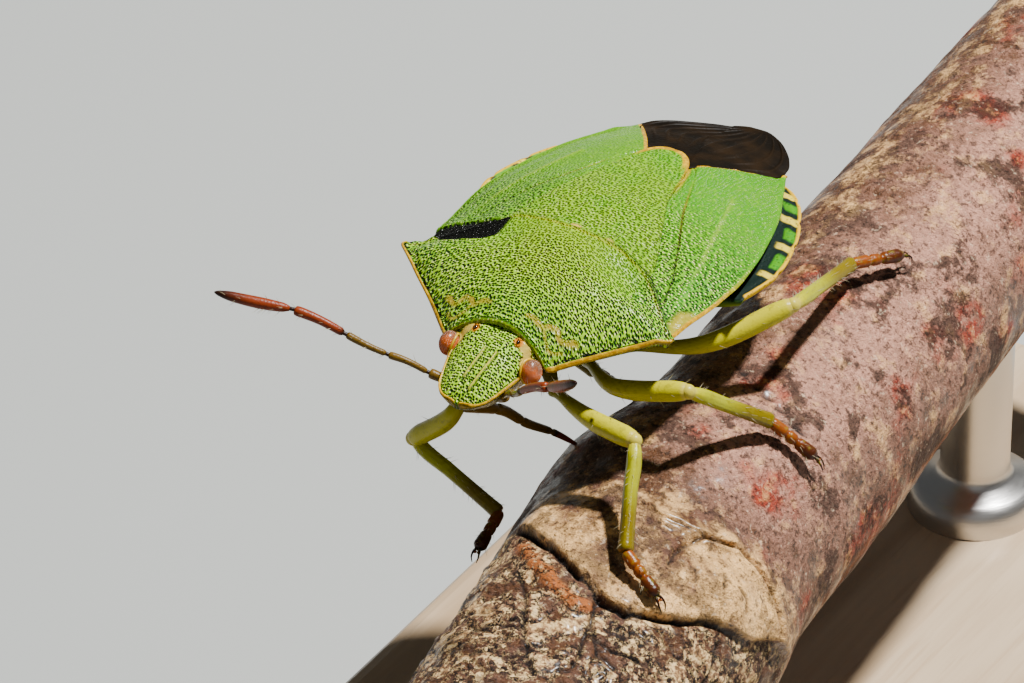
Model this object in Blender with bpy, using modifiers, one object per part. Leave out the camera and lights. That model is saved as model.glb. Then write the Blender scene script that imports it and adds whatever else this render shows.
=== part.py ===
"""A green shield bug, life size, gripping a short cut length of branch on a display stand.

Sizes are in millimetres and become metres as each mesh is made. The bug's own frame has +X to
its left, +Y to its rear and +Z up, with X = 0 down its middle and Z = 0 at the side of its wings.
"""

import math

import bmesh
import bpy
import numpy as np
from mathutils import Vector

MM = 0.001
GAP = 0.3  # between one piece and the next, face to face
EYE_GAP = 0.2
THIN = 0.25  # radius of the thinnest limb, so that it is 0.5 thick

# Display stand
BASE_SIZE = (20.0, 33.0, 3.0)
BASE_BEVEL = 0.5
BASE_BEVEL_STEPS = 3
ROD_RADIUS = 0.9
ROD_STATIONS = (-4.0, 15.0)
LIFT = 17.5  # height of the bug's frame above the floor
BODY_PLACE = (-3.4, -6.0, LIFT)

# Branch: a slightly tapered length, along an axis that rises a little to the bug's rear
BRANCH_START = Vector((3.58, 0.0, -6.52))
BRANCH_ALONG = Vector((-0.027, 0.993, 0.117)).normalized()
BRANCH_REACH = (-9.2, 21.0)
BRANCH_RADIUS = 3.30
BRANCH_TAPER = 0.0233
BRANCH_RINGS = 34
BRANCH_SIDES = 26
BRANCH_BOW = 0.42  # how far its front end bends down and to the bug's left
BOW_REACH = (-2.5, -8.5)
SIDEWAYS = math.radians(123)  # the side, from the top to the bug's left, that the bow leans to
BARK_RIPPLES = ((0.05, 3, 0.4), (0.03, 5, -0.7))  # height, count round the branch, turn per millimetre
# Swellings of the bark: height, station along the branch, spread, angle from the top, spread in radians
SWELLINGS = (
    (0.20, -0.9, 2.6, math.radians(-57), 1.0),
    (0.35, -2.0, 1.6, math.radians(118), 0.8),
    (0.12, -3.2, 1.4, math.radians(30), 1.2),
)

# Body, as stations (y, value)
HEAD_HALF = ((-4.51, 0.1), (-4.42, 0.38), (-4.2, 0.62), (-3.8, 0.86), (-3.4, 0.97), (-2.9, 1.0))
HEAD_EDGE = ((-4.51, -0.76), (-4.0, -0.64), (-3.4, -0.5), (-2.9, -0.42))
HEAD_CROWN = ((-4.51, -0.74), (-4.2, -0.48), (-3.8, -0.22), (-3.3, 0.02), (-2.9, 0.14))
HEAD_KEEL = ((-4.51, -0.98), (-4.1, -1.2), (-3.5, -1.42), (-2.9, -1.5))
HEAD_REACH = (-4.51, -2.95)
HEAD_BULGE = 2.4
EYE_CENTRE = (1.13, -3.05, -0.36)
EYE_RADII = (0.28, 0.34, 0.30)

PRONOTUM_HALF = (
    (-2.85, 1.43), (-2.1, 2.28), (-1.4, 3.10), (-0.95, 3.62),
    (-0.65, 3.72), (-0.35, 3.40), (0.05, 3.00), (0.45, 2.45),
)
PRONOTUM_EDGE = ((-2.85, -0.36), (-1.6, 0.0), (-0.92, 0.18), (-0.35, 0.33), (0.05, 0.42), (0.45, 0.56))
PRONOTUM_CROWN = ((-2.85, 0.42), (-2.0, 0.74), (-1.0, 1.08), (0.0, 1.27), (0.45, 1.30))
PRONOTUM_REACH = (-2.85, 0.45)
PRONOTUM_HOLLOW = 0.25  # how far the front edge is let in for the head
PRONOTUM_DEPTH = 0.35

BACK_CROWN = ((0.5, 1.20), (2.0, 1.12), (3.3, 0.96), (5.0, 0.72), (6.3, 0.42), (7.4, 0.06), (8.15, -0.14))
BACK_EDGE = ((0.3, 0.05), (3.0, -0.12), (6.6, -0.15), (8.15, -0.2))
COSTAL_HALF = (
    (-0.1, 3.52), (0.6, 3.62), (2.0, 3.70), (3.0, 3.57), (4.0, 3.32), (5.0, 3.0), (6.0, 2.56), (6.62, 2.20),
)
SCUTELLUM_HALF = (
    (0.8, 2.02), (1.5, 1.74), (2.4, 1.30), (3.26, 0.95), (4.2, 0.80), (4.7, 0.70), (5.05, 0.48), (5.31, 0.12),
)
SCUTELLUM_REACH = (0.8, 5.31)
SCUTELLUM_RISE = 0.14
SCUTELLUM_DEPTH = 0.4
CLAVUS_REAR = 4.94
CORIUM_REACH = (-0.05, 6.62)
CORIUM_REAR = ((4.94, 0.60), (5.34, 0.95), (5.99, 1.63), (6.62, 2.16))
MEMBRANE_REACH = (5.66, 8.15)
MEMBRANE_HALF = (
    (5.66, 0.90), (6.0, 1.26), (6.5, 1.80), (6.95, 2.08),
    (7.35, 1.72), (7.8, 1.12), (8.05, 0.62), (8.15, 0.2),
)
WING_DEPTH = 0.5
WING_SIDE_DEPTH = 0.3
WING_TIP = 0.06  # width left at the front and rear points of a forewing
BULGE = 2.0  # how square the back is across: 2 is a parabola
ROLL = 0.05  # how far the hind body leans over to the bug's right, as a slope
ROLL_REACH = (0.6, 3.2)
VEINS = (0.16, 0.38, 0.60, 0.82)  # places across each half of the membrane
VEIN_HEIGHT = 0.07
VEIN_WIDTH = 0.055
VEIN_START = (5.9, 0.6)  # where the veins begin, and over how long they rise
VEIN_END = (8.2, 0.4)

ABDOMEN_HALF = (
    (2.5, 3.90), (3.2, 4.03), (4.57, 3.76), (5.88, 3.14), (6.6, 2.60), (7.2, 1.85), (7.55, 1.1), (7.7, 0.5),
)
ABDOMEN_REACH = (2.5, 7.7)
ABDOMEN_RIM = ((2.5, -0.44), (6.0, -0.46), (6.7, -0.74), (7.7, -1.05))
ABDOMEN_FLOOR = ((2.5, 0.75), (3.2, 1.1), (4.0, 1.42), (5.0, 1.3), (6.0, 1.0), (7.0, 0.5), (7.7, 0.15))
CONNEXIVUM = 0.30  # width of the side rim that shows beside the wings
RIM_DEPTH = 0.2
SEGMENTS = (3.4, 4.7, 5.9, 6.9)  # ends of the abdomen's segments along its rim
NOTCH_DEPTH = 0.05
NOTCH_BEHIND = 0.1  # how far behind a segment's end its notch is deepest
NOTCH_SPREAD = 0.12

THORAX_HALF = ((-2.35, 1.3), (-1.0, 2.55), (0.0, 2.95), (1.0, 3.15), (2.2, 3.4))
THORAX_REACH = (-2.35, 2.2)
THORAX_BULGE = 2.5
THORAX_STEP = 0.9  # the thorax lies under both the pronotum and the wings up to here
THORAX_SIDE = ((-2.35, -1.05), (0.0, -0.85), (2.2, -0.85))
THORAX_KEEL = ((-2.35, -1.40), (-1.0, -1.46), (2.2, -1.42))

# Legs: coxa, knee, end of the tibia, end of the tarsus
LEGS = {
    "leg_front_left": ((0.95, -1.75, -1.82), (3.68, -2.61, -1.61), (4.64, -4.6, -3.17), (5.80, -4.98, -3.80)),
    "leg_middle_left": ((1.0, -0.3, -1.9), (4.04, -0.75, -1.19), (5.06, 1.26, -2.85), (6.24, 1.62, -3.72)),
    "leg_hind_left": ((1.35, 0.95, -1.95), (4.58, 3.1, -0.78), (4.0, 6.85, -1.98), (4.73, 8.36, -2.2)),
    "leg_front_right": (
        (-0.93, -1.75, -1.85), (-2.52, -2.4, -3.99), (-0.12, -2.53, -5.12), (-0.06, -4.0, -5.2),
    ),
    "leg_middle_right": ((-1.0, -0.4, -1.95), (-2.9, 2.0, -2.9), (-0.55, 2.6, -4.3), (-0.02, 3.35, -5.25)),
    "leg_hind_right": ((-1.25, 1.05, -1.85), (-2.87, 4.6, -2.6), (0.05, 6.5, -4.25), (-0.2, 7.9, -4.9)),
}
FEMUR_MIDDLE = 0.45
LIMB_RADII = (0.26, 0.33, 0.29, THIN, THIN, THIN, 0.2)  # at the joints and between them
KNEE_RADIUS = 0.31
CLAW_LENGTHS = {-1: 0.45, 1: 0.42}
CLAW_RADII = (0.13, 0.05)
CLAW_SPREAD = 0.22
CLAW_ROOT = 0.15  # how far inside the toe a claw starts
CLAW_BEND = 0.55  # where along its length it bends down
CLAW_HOOK = 0.1

# Feelers: the ends of their five segments
ANTENNA_RIGHT = (
    (-0.72, -3.58, -1.52), (-1.36, -3.71, -0.93), (-2.22, -4.02, -0.51), (-3.19, -4.31, -0.12),
    (-4.40, -4.69, 0.36), (-6.13, -5.48, 0.69),
)
ANTENNA_LEFT = (
    (0.72, -3.58, -1.54), (1.36, -3.90, -0.95), (1.86, -4.42, -0.20), (2.42, -4.95, 0.50),
    (3.20, -5.45, 1.30), (4.47, -6.35, 2.48),
)
SEGMENT_SHARES = (0.5, 0.9)  # where along a segment it is thickest, and where it narrows
SEGMENT_SWELL = 0.03
ANTENNA_RADII = (0.25, 0.25, 0.25, 0.27, 0.29)
ANTENNA_TIP = (0.2, 0.08)
BEAK = (
    (0.0, -4.0, -1.62), (0.05, -2.75, -1.95), (0.28, -1.93, -2.78), (0.52, -1.05, -3.5), (0.74, -0.45, -4.0),
)
BEAK_RADII = (0.27, 0.27, 0.25, 0.24, 0.12)

# How finely each piece is divided: along it, and across it
HEAD_GRID = (14, 18)
PRONOTUM_GRID = (18, 26)
SCUTELLUM_GRID = (16, 16)
FOREWING_GRID = (24, 10)
MEMBRANE_GRID = (14, 30)
ABDOMEN_GRID = (26, 28)
THORAX_GRID = (14, 20)
EYE_GRID = (14, 10)
KNEE_GRID = (9, 6)
ROD_SIDES = 24


# Small tools

def clear_scene():
    for thing in list(bpy.data.objects):
        bpy.data.objects.remove(thing, do_unlink=True)


def through(stations, at):
    """The smooth curve through (place, value) stations, with no overshoot, at one place or many."""
    places, values = np.array(stations, float).T
    slopes = np.diff(values) / np.diff(places)
    level = slopes[:-1] * slopes[1:] <= 0
    mean = np.where(level, 0, 2 * slopes[:-1] * slopes[1:] / np.where(level, 1, slopes[:-1] + slopes[1:]))
    tangents = np.concatenate([slopes[:1], mean, slopes[-1:]])
    at = np.clip(at, places[0], places[-1])
    i = np.clip(np.searchsorted(places, at, "right") - 1, 0, len(slopes) - 1)
    step = places[i + 1] - places[i]
    s = (at - places[i]) / step
    bend = (1 - s) * tangents[i] - s * tangents[i + 1] + (2 * s - 1) * slopes[i]
    return values[i] + s * (values[i + 1] - values[i]) + s * (1 - s) * step * bend


def bump(at, centre, spread):
    return np.exp(-(((at - centre) / spread) ** 2))


def bump_round(angle, centre, spread):
    """A bump at one angle round the branch."""
    apart = (angle - centre + math.pi) % (2 * math.pi) - math.pi
    return math.exp(-((apart / spread) ** 2))


def material(name, colour, roughness, metallic=0.0):
    made = bpy.data.materials.new(name)
    made.use_nodes = True
    surface = made.node_tree.nodes["Principled BSDF"]
    surface.inputs["Base Color"].default_value = (*colour, 1.0)
    surface.inputs["Roughness"].default_value = roughness
    surface.inputs["Metallic"].default_value = metallic
    return made


def place_mesh(name, mesh, collection):
    thing = bpy.data.objects.new(name, mesh)
    collection.objects.link(thing)
    return thing


def finish(thing, surface, parent=None, sharp=40.0):
    thing.data.materials.clear()
    thing.data.materials.append(surface)
    thing.data.shade_smooth()
    thing.data.set_sharp_from_angle(angle=math.radians(sharp))
    if parent:
        thing.parent = parent
    return thing


def grid_solid(name, rings, collection):
    """A closed mesh through rings of the same number of points, each end closed by a strip
    that joins the ring's first half to its second half."""
    work = bmesh.new()
    rows = [[work.verts.new(Vector(point) * MM) for point in ring] for ring in rings]
    count = len(rows[0])
    for near, far in zip(rows, rows[1:]):
        for i in range(count):
            work.faces.new((near[i], near[(i + 1) % count], far[(i + 1) % count], far[i]))
    for row in (rows[0], rows[-1]):
        for i in range(count // 2 - 1):
            work.faces.new((row[i], row[i + 1], row[count - 2 - i], row[count - 1 - i]))
    bmesh.ops.triangulate(work, faces=work.faces[:], quad_method="SHORT_EDGE")
    bmesh.ops.recalc_face_normals(work, faces=work.faces[:])
    mesh = bpy.data.meshes.new(name)
    work.to_mesh(mesh)
    work.free()
    return place_mesh(name, mesh, collection)


def slab(name, stations, sides, top, bottom, collection, columns, front=0.0):
    """A solid between two heights. sides(y) gives its left and right X, and front is how far
    its first edge bends to the rear in the middle."""
    rings = []
    reach = stations[-1] - stations[0]
    for y in stations:
        low, high = sides(y)
        across = np.linspace(low, high, columns)
        share = (2 * across - low - high) / (high - low)
        bent = y + front * (1 - share**2) * (1 - (y - stations[0]) / reach) ** 3
        over = [(x, by, z) for x, by, z in zip(across, bent, top(across, bent))]
        under = [(x, by, z) for x, by, z in zip(across, bent, bottom(across, bent))]
        rings.append(over + under[::-1])
    return grid_solid(name, rings, collection)


def both_sides(stations):
    """The left and right X of a piece that is the same on both sides of the middle."""
    return lambda y: (-float(through(stations, y)), float(through(stations, y)))


def arched(crown, edge, half, power=BULGE):
    """A height that falls from a crown line to an edge line across the body."""
    def height(x, y):
        share = np.clip(np.abs(x) / through(half, y), 0, 1)
        low = through(edge, y)
        return low + (through(crown, y) - low) * (1 - share**power)
    return height


def stations_between(reach, count, ends=0.0):
    """Places along a reach, closer together at its ends by the share given."""
    even = np.linspace(0, 1, count)
    eased = (1 - np.cos(np.pi * even)) / 2
    return reach[0] + (reach[1] - reach[0]) * ((1 - ends) * even + ends * eased)


def as_mesh(curve_thing, collection):
    """The mesh of a curve object, with its caps welded, in the curve's place."""
    graph = bpy.context.evaluated_depsgraph_get()
    graph.update()
    name = curve_thing.name
    mesh = bpy.data.meshes.new_from_object(curve_thing.evaluated_get(graph))
    work = bmesh.new()
    work.from_mesh(mesh)
    bmesh.ops.remove_doubles(work, verts=work.verts[:], dist=1e-7)
    work.to_mesh(mesh)
    work.free()
    solid = place_mesh(name + "_solid", mesh, collection)
    solid.matrix_world = curve_thing.matrix_world
    bpy.data.objects.remove(curve_thing, do_unlink=True)
    return solid


def tube(name, points, radii, collection, resolution=2):
    """A round limb through the points, with a radius at each."""
    data = bpy.data.curves.new(name, "CURVE")
    data.dimensions = "3D"
    data.bevel_depth = MM
    data.bevel_resolution = resolution
    data.use_fill_caps = True
    line = data.splines.new("POLY")
    line.points.add(len(points) - 1)
    for slot, point, radius in zip(line.points, points, radii):
        slot.co = (*(Vector(point) * MM), 1.0)
        slot.radius = radius
    return as_mesh(place_mesh(name, data, collection), collection)


def ball(name, centre, radii, collection, segments, rings):
    work = bmesh.new()
    bmesh.ops.create_uvsphere(work, u_segments=segments, v_segments=rings, radius=1.0)
    mesh = bpy.data.meshes.new(name)
    bmesh.ops.scale(work, vec=Vector(radii) * MM, verts=work.verts[:])
    bmesh.ops.translate(work, vec=Vector(centre) * MM, verts=work.verts[:])
    work.to_mesh(mesh)
    work.free()
    return place_mesh(name, mesh, collection)


def keep_largest(mesh):
    """Leaves only the mesh's largest closed surface."""
    work = bmesh.new()
    work.from_mesh(mesh)
    seen = set()
    groups = []
    for start in work.verts:
        if start in seen:
            continue
        group = [start]
        seen.add(start)
        for vert in group:
            for edge in vert.link_edges:
                other = edge.other_vert(vert)
                if other not in seen:
                    seen.add(other)
                    group.append(other)
        groups.append(group)
    groups.sort(key=len)
    bmesh.ops.delete(work, geom=[vert for group in groups[:-1] for vert in group], context="VERTS")
    work.to_mesh(mesh)
    work.free()


def boolean(thing, others, operation, collection):
    """Joins or cuts thing with the others, which are then removed."""
    tools = bpy.data.collections.new(thing.name + "_tools")
    collection.children.link(tools)
    for other in others:
        tools.objects.link(other)
    step = thing.modifiers.new("Boolean", "BOOLEAN")
    step.operation = operation
    step.operand_type = "COLLECTION"
    step.collection = tools
    step.solver = "EXACT"
    graph = bpy.context.evaluated_depsgraph_get()
    graph.update()
    mesh = bpy.data.meshes.new_from_object(thing.evaluated_get(graph))
    thing.modifiers.remove(step)
    thing.data = mesh
    for other in others:
        bpy.data.objects.remove(other, do_unlink=True)
    bpy.data.collections.remove(tools)
    keep_largest(mesh)
    return thing


# The body's heights

pronotum_top = arched(PRONOTUM_CROWN, PRONOTUM_EDGE, PRONOTUM_HALF, 2.0)
back_arch = arched(BACK_CROWN, BACK_EDGE, COSTAL_HALF)


def roll(x, y):
    """How much higher the leaning hind body is at a place than an upright one."""
    share = np.clip((y - ROLL_REACH[0]) / (ROLL_REACH[1] - ROLL_REACH[0]), 0, 1)
    return ROLL * x * share * share * (3 - 2 * share)


def back_top(x, y):
    return back_arch(x, y) + roll(x, y)


def pronotum_bottom(x, y):
    return through(PRONOTUM_EDGE, y) - PRONOTUM_DEPTH + 0 * x


def wing_bottom(x, y):
    share = np.clip(np.abs(x) / through(COSTAL_HALF, y), 0, 1)
    return back_top(x, y) - WING_DEPTH + (WING_DEPTH - WING_SIDE_DEPTH) * share**4


def thorax_top(x, y):
    under_pronotum = pronotum_bottom(x, y) - GAP
    under_wings = wing_bottom(x, y) - GAP
    return np.where(y < THORAX_STEP, np.minimum(under_pronotum, under_wings), under_wings)


def rim_share(x, y):
    """0 under the wings and 1 on the side rim of the abdomen."""
    half = through(ABDOMEN_HALF, y)
    return np.clip((np.abs(x) - half + CONNEXIVUM) / (0.5 * CONNEXIVUM), 0, 1)


def abdomen_top(x, y):
    rim = through(ABDOMEN_RIM, y) + roll(x, y)
    under_wings = np.minimum(wing_bottom(x, y) - GAP, rim)
    under_membrane = np.minimum(back_top(x, y) - WING_DEPTH - GAP, rim)
    behind = (y > MEMBRANE_REACH[0] - GAP) & (np.abs(x) < through(MEMBRANE_HALF, y) + GAP)
    share = rim_share(x, y)
    return np.where(behind, under_membrane, under_wings * (1 - share) + rim * share)


def abdomen_bottom(x, y):
    share = np.abs(x) / through(ABDOMEN_HALF, y)
    rim = through(ABDOMEN_RIM, y) + roll(x, y)
    return rim - RIM_DEPTH - through(ABDOMEN_FLOOR, y) * (1 - share**2)


def abdomen_sides(y):
    """The abdomen's half width, with a small notch behind each segment."""
    notch = sum(NOTCH_DEPTH * bump(y, end + NOTCH_BEHIND, NOTCH_SPREAD) for end in SEGMENTS)
    half = float(through(ABDOMEN_HALF, y)) - notch
    return -half, half


def membrane_top(x, y):
    share = np.abs(x) / through(MEMBRANE_HALF, y)
    fade = np.clip((y - VEIN_START[0]) / VEIN_START[1], 0, 1) * np.clip((VEIN_END[0] - y) / VEIN_END[1], 0, 1)
    veins = sum(bump(share, place, VEIN_WIDTH) for place in VEINS)
    return back_top(x, y) + VEIN_HEIGHT * veins * fade


# Parts of the bug

def make_eye(name, side, surface, rest, collection):
    centre = (side * EYE_CENTRE[0], EYE_CENTRE[1], EYE_CENTRE[2])
    return finish(ball(name, centre, EYE_RADII, collection, *EYE_GRID), surface, rest)


def make_head(surface, rest, collection, cutters):
    top = arched(HEAD_CROWN, HEAD_EDGE, HEAD_HALF, HEAD_BULGE)
    bottom = arched(HEAD_KEEL, HEAD_EDGE, HEAD_HALF, HEAD_BULGE)
    stations = stations_between(HEAD_REACH, HEAD_GRID[0], 0.5)
    head = slab("head", stations, both_sides(HEAD_HALF), top, bottom, collection, HEAD_GRID[1])
    sockets = []
    for side in (-1, 1):
        centre = (side * EYE_CENTRE[0], EYE_CENTRE[1], EYE_CENTRE[2])
        radii = [radius + EYE_GAP for radius in EYE_RADII]
        sockets.append(ball(f"eye_socket_{side}", centre, radii, cutters, *EYE_GRID))
    boolean(head, sockets, "DIFFERENCE", cutters)
    return finish(head, surface, rest)


def make_pronotum(surface, rest, collection):
    pronotum = slab(
        "pronotum", stations_between(PRONOTUM_REACH, PRONOTUM_GRID[0], 0.3), both_sides(PRONOTUM_HALF),
        pronotum_top, pronotum_bottom, collection, PRONOTUM_GRID[1], PRONOTUM_HOLLOW,
    )
    return finish(pronotum, surface, rest)


def make_scutellum(surface, rest, collection):
    scutellum = slab(
        "scutellum", stations_between(SCUTELLUM_REACH, SCUTELLUM_GRID[0], 0.4), both_sides(SCUTELLUM_HALF),
        lambda x, y: back_top(x, y) + SCUTELLUM_RISE, lambda x, y: back_top(x, y) - SCUTELLUM_DEPTH,
        collection, SCUTELLUM_GRID[1],
    )
    return finish(scutellum, surface, rest)


def make_forewing(name, side, surface, rest, collection):
    """The leathery front part of one forewing, beside the scutellum."""
    def sides(y):
        if y < CLAVUS_REAR:
            inner = float(through(SCUTELLUM_HALF, y)) + GAP
        else:
            inner = float(through(CORIUM_REAR, y))
        if y < BACK_CROWN[0][0] + GAP:
            inner = max(inner, float(through(PRONOTUM_HALF, y)) + GAP)
        outer = max(float(through(COSTAL_HALF, y)), inner + WING_TIP)
        return side * inner, side * outer
    stations = stations_between(CORIUM_REACH, FOREWING_GRID[0], 0.2)
    wing = slab(name, stations, sides, back_top, wing_bottom, collection, FOREWING_GRID[1])
    return finish(wing, surface, rest)


def make_membrane(surface, rest, collection):
    membrane = slab(
        "wing_membrane", stations_between(MEMBRANE_REACH, MEMBRANE_GRID[0], 0.3), both_sides(MEMBRANE_HALF),
        membrane_top, lambda x, y: back_top(x, y) - WING_DEPTH, collection, MEMBRANE_GRID[1],
    )
    return finish(membrane, surface, rest)


def make_abdomen(surface, rest, collection):
    abdomen = slab(
        "abdomen", stations_between(ABDOMEN_REACH, ABDOMEN_GRID[0], 0.3), abdomen_sides,
        abdomen_top, abdomen_bottom, collection, ABDOMEN_GRID[1],
    )
    return finish(abdomen, surface, rest)


def make_thorax(surface, rest, collection):
    thorax = slab(
        "thorax", stations_between(THORAX_REACH, THORAX_GRID[0]), both_sides(THORAX_HALF),
        thorax_top, arched(THORAX_KEEL, THORAX_SIDE, THORAX_HALF, THORAX_BULGE), collection, THORAX_GRID[1],
    )
    return finish(thorax, surface, rest)


def claw(name, toe, along, aside, length, collection):
    """One hooked claw that leaves the tip of a tarsus to one side."""
    reach = (along + aside * CLAW_SPREAD).normalized() * length
    points = [toe - along * CLAW_ROOT, toe + reach * CLAW_BEND, toe + reach - Vector((0, 0, CLAW_HOOK))]
    middle = sum(CLAW_RADII) / 2
    return tube(name, points, (CLAW_RADII[0], middle, CLAW_RADII[1]), collection, 1)


def make_leg(name, joints, surface, rest, collection, cutters):
    """One leg as a single limb from its coxa to its toe, with a knee and two claws joined on."""
    coxa, knee, ankle, toe = (Vector(joint) for joint in joints)
    femur, tibia, tarsus = coxa.lerp(knee, FEMUR_MIDDLE), knee.lerp(ankle, 0.5), ankle.lerp(toe, 0.5)
    points = (coxa, femur, knee, tibia, ankle, tarsus, toe)
    leg = tube(name, points, LIMB_RADII, collection)
    leg.name = name
    pieces = [ball(name + "_knee", knee, (KNEE_RADIUS,) * 3, cutters, *KNEE_GRID)]
    along = (toe - ankle).normalized()
    aside = along.cross(Vector((0, 0, 1))).normalized()
    for side, length in CLAW_LENGTHS.items():
        pieces.append(claw(f"{name}_claw_{side}", toe, along, aside * side, length, cutters))
    boolean(leg, pieces, "UNION", cutters)
    return finish(leg, surface, rest)


def make_antenna(name, joints, surface, rest, collection):
    """A feeler of five segments, each a little thicker in its middle."""
    points = [Vector(joints[0])]
    radii = [THIN]
    for start, end, radius in zip(joints, joints[1:], ANTENNA_RADII):
        points += [Vector(start).lerp(Vector(end), share) for share in SEGMENT_SHARES] + [Vector(end)]
        radii += [radius + SEGMENT_SWELL, radius, THIN]
    radii[-2:] = ANTENNA_TIP
    feeler = tube(name, points, radii, collection)
    feeler.name = name
    return finish(feeler, surface, rest)


def make_beak(surface, rest, collection):
    beak = tube("rostrum", BEAK, BEAK_RADII, collection)
    beak.name = "rostrum"
    return finish(beak, surface, rest)


# Branch and stand

def branch_point(along, angle):
    """A point of the bark, at a station along the branch and an angle from its top to the bug's left."""
    aside = BRANCH_ALONG.cross(Vector((0, 0, 1))).normalized()
    up = aside.cross(BRANCH_ALONG)
    radius = BRANCH_RADIUS - BRANCH_TAPER * along
    for height, station, spread, side, wide in SWELLINGS:
        radius += height * float(bump(along, station, spread)) * bump_round(angle, side, wide)
    for height, count, turn in BARK_RIPPLES:
        radius += height * math.sin(count * angle + turn * along)
    bow = BRANCH_BOW * max(0.0, (BOW_REACH[0] - along) / (BOW_REACH[0] - BOW_REACH[1])) ** 1.5
    centre = BRANCH_START + BRANCH_ALONG * along
    centre += bow * (math.sin(SIDEWAYS) * aside + math.cos(SIDEWAYS) * up)
    return centre + radius * (math.sin(angle) * aside + math.cos(angle) * up)


def make_branch(surface, rest, collection):
    angles = [2 * math.pi * i / BRANCH_SIDES for i in range(BRANCH_SIDES)]
    stations = [float(along) for along in np.linspace(*BRANCH_REACH, BRANCH_RINGS)]
    rings = [[branch_point(along, angle) for angle in angles] for along in stations]
    return finish(grid_solid("perch_branch", rings, collection), surface, rest)


def make_rod(name, along, surface, collection):
    """An upright rod from the stand's base to just under the branch."""
    place = Vector(BODY_PLACE)
    under = branch_point(along, math.pi) + place
    low = BASE_SIZE[2] + GAP
    high = under.z - GAP
    data = bpy.data.meshes.new(name)
    work = bmesh.new()
    bmesh.ops.create_cone(
        work, cap_ends=True, segments=ROD_SIDES, radius1=ROD_RADIUS * MM, radius2=ROD_RADIUS * MM,
        depth=(high - low) * MM,
    )
    work.to_mesh(data)
    work.free()
    rod = place_mesh(name, data, collection)
    rod.location = Vector((under.x, under.y, (low + high) / 2)) * MM
    return finish(rod, surface)


def make_base(surface, collection):
    data = bpy.data.meshes.new("stand_base")
    work = bmesh.new()
    bmesh.ops.create_cube(work, size=1.0)
    bmesh.ops.scale(work, vec=Vector(BASE_SIZE) * MM, verts=work.verts[:])
    work.to_mesh(data)
    work.free()
    base = place_mesh("stand_base", data, collection)
    base.location.z = BASE_SIZE[2] / 2 * MM
    rounded = base.modifiers.new("Rounded edges", "BEVEL")
    rounded.width = BASE_BEVEL * MM
    rounded.segments = BASE_BEVEL_STEPS
    return finish(base, surface)


def make_collection(name, helper=False):
    made = bpy.data.collections.new(name)
    bpy.context.scene.collection.children.link(made)
    made.hide_render = helper
    return made


def main():
    clear_scene()
    parts = make_collection("shield_bug")
    cutters = make_collection("helpers", helper=True)

    green = material("green_cuticle", (0.20, 0.38, 0.03), 0.4)
    dark_wing = material("dark_membrane", (0.03, 0.02, 0.012), 0.3)
    belly = material("green_belly", (0.30, 0.36, 0.08), 0.5)
    eye = material("red_brown_eye", (0.28, 0.08, 0.04), 0.25)
    feeler = material("brown_feeler", (0.20, 0.07, 0.03), 0.4)
    limb = material("lime_leg", (0.42, 0.45, 0.05), 0.4)
    bark = material("bark", (0.22, 0.12, 0.09), 0.6)
    wood = material("pale_wood", (0.55, 0.43, 0.30), 0.5)
    metal = material("brushed_metal", (0.60, 0.58, 0.55), 0.35, 1.0)

    rest = bpy.data.objects.new("bug_rest", None)
    rest.location = Vector(BODY_PLACE) * MM
    parts.objects.link(rest)

    make_eye("eye_left", 1, eye, rest, parts)
    make_eye("eye_right", -1, eye, rest, parts)
    make_head(green, rest, parts, cutters)
    make_pronotum(green, rest, parts)
    make_scutellum(green, rest, parts)
    make_forewing("forewing_left", 1, green, rest, parts)
    make_forewing("forewing_right", -1, green, rest, parts)
    make_membrane(dark_wing, rest, parts)
    make_abdomen(belly, rest, parts)
    make_thorax(belly, rest, parts)
    for name, joints in LEGS.items():
        make_leg(name, joints, limb, rest, parts, cutters)
    make_antenna("antenna_left", ANTENNA_LEFT, feeler, rest, parts)
    make_antenna("antenna_right", ANTENNA_RIGHT, feeler, rest, parts)
    make_beak(belly, rest, parts)

    make_branch(bark, rest, parts)
    make_base(wood, parts)
    make_rod("stand_rod_front", ROD_STATIONS[0], metal, parts)
    make_rod("stand_rod_rear", ROD_STATIONS[1], metal, parts)


main()
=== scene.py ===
"""Looks of a green shield bug on a cut branch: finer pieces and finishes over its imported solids."""

import math

import bmesh
import bpy
import numpy as np
from bpy.props import FloatProperty, FloatVectorProperty, IntProperty, PointerProperty
from mathutils import Matrix, Vector


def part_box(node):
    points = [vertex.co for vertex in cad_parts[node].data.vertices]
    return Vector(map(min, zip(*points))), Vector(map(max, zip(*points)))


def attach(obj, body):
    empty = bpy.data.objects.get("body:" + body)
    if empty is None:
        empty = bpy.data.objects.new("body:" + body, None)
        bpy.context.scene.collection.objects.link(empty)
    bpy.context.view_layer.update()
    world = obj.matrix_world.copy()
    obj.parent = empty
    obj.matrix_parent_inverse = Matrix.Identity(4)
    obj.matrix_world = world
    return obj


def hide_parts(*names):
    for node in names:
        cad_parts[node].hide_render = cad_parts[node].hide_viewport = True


bl_info = {
    "name": "Shield bug on a branch",
    "version": (1, 0, 0),
    "blender": (4, 5, 0),
    "location": "View3D > Sidebar > Shield bug",
    "description": "Builds the cuticle, limbs, bark, stand and studio of a museum model",
    "category": "Add Mesh",
}

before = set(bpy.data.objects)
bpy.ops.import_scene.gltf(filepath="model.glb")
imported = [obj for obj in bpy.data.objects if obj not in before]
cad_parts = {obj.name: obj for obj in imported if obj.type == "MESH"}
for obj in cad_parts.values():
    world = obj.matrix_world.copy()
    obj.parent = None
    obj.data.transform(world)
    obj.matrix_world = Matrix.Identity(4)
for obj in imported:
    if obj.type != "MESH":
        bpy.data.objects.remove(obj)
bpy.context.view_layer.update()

# Sizes in millimetres, in the bug's own frame: +X to its left, +Y to its rear, +Z up
MM = 0.001
BODY_PLACE = np.array((-3.4, -6.0, 17.5))

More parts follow.
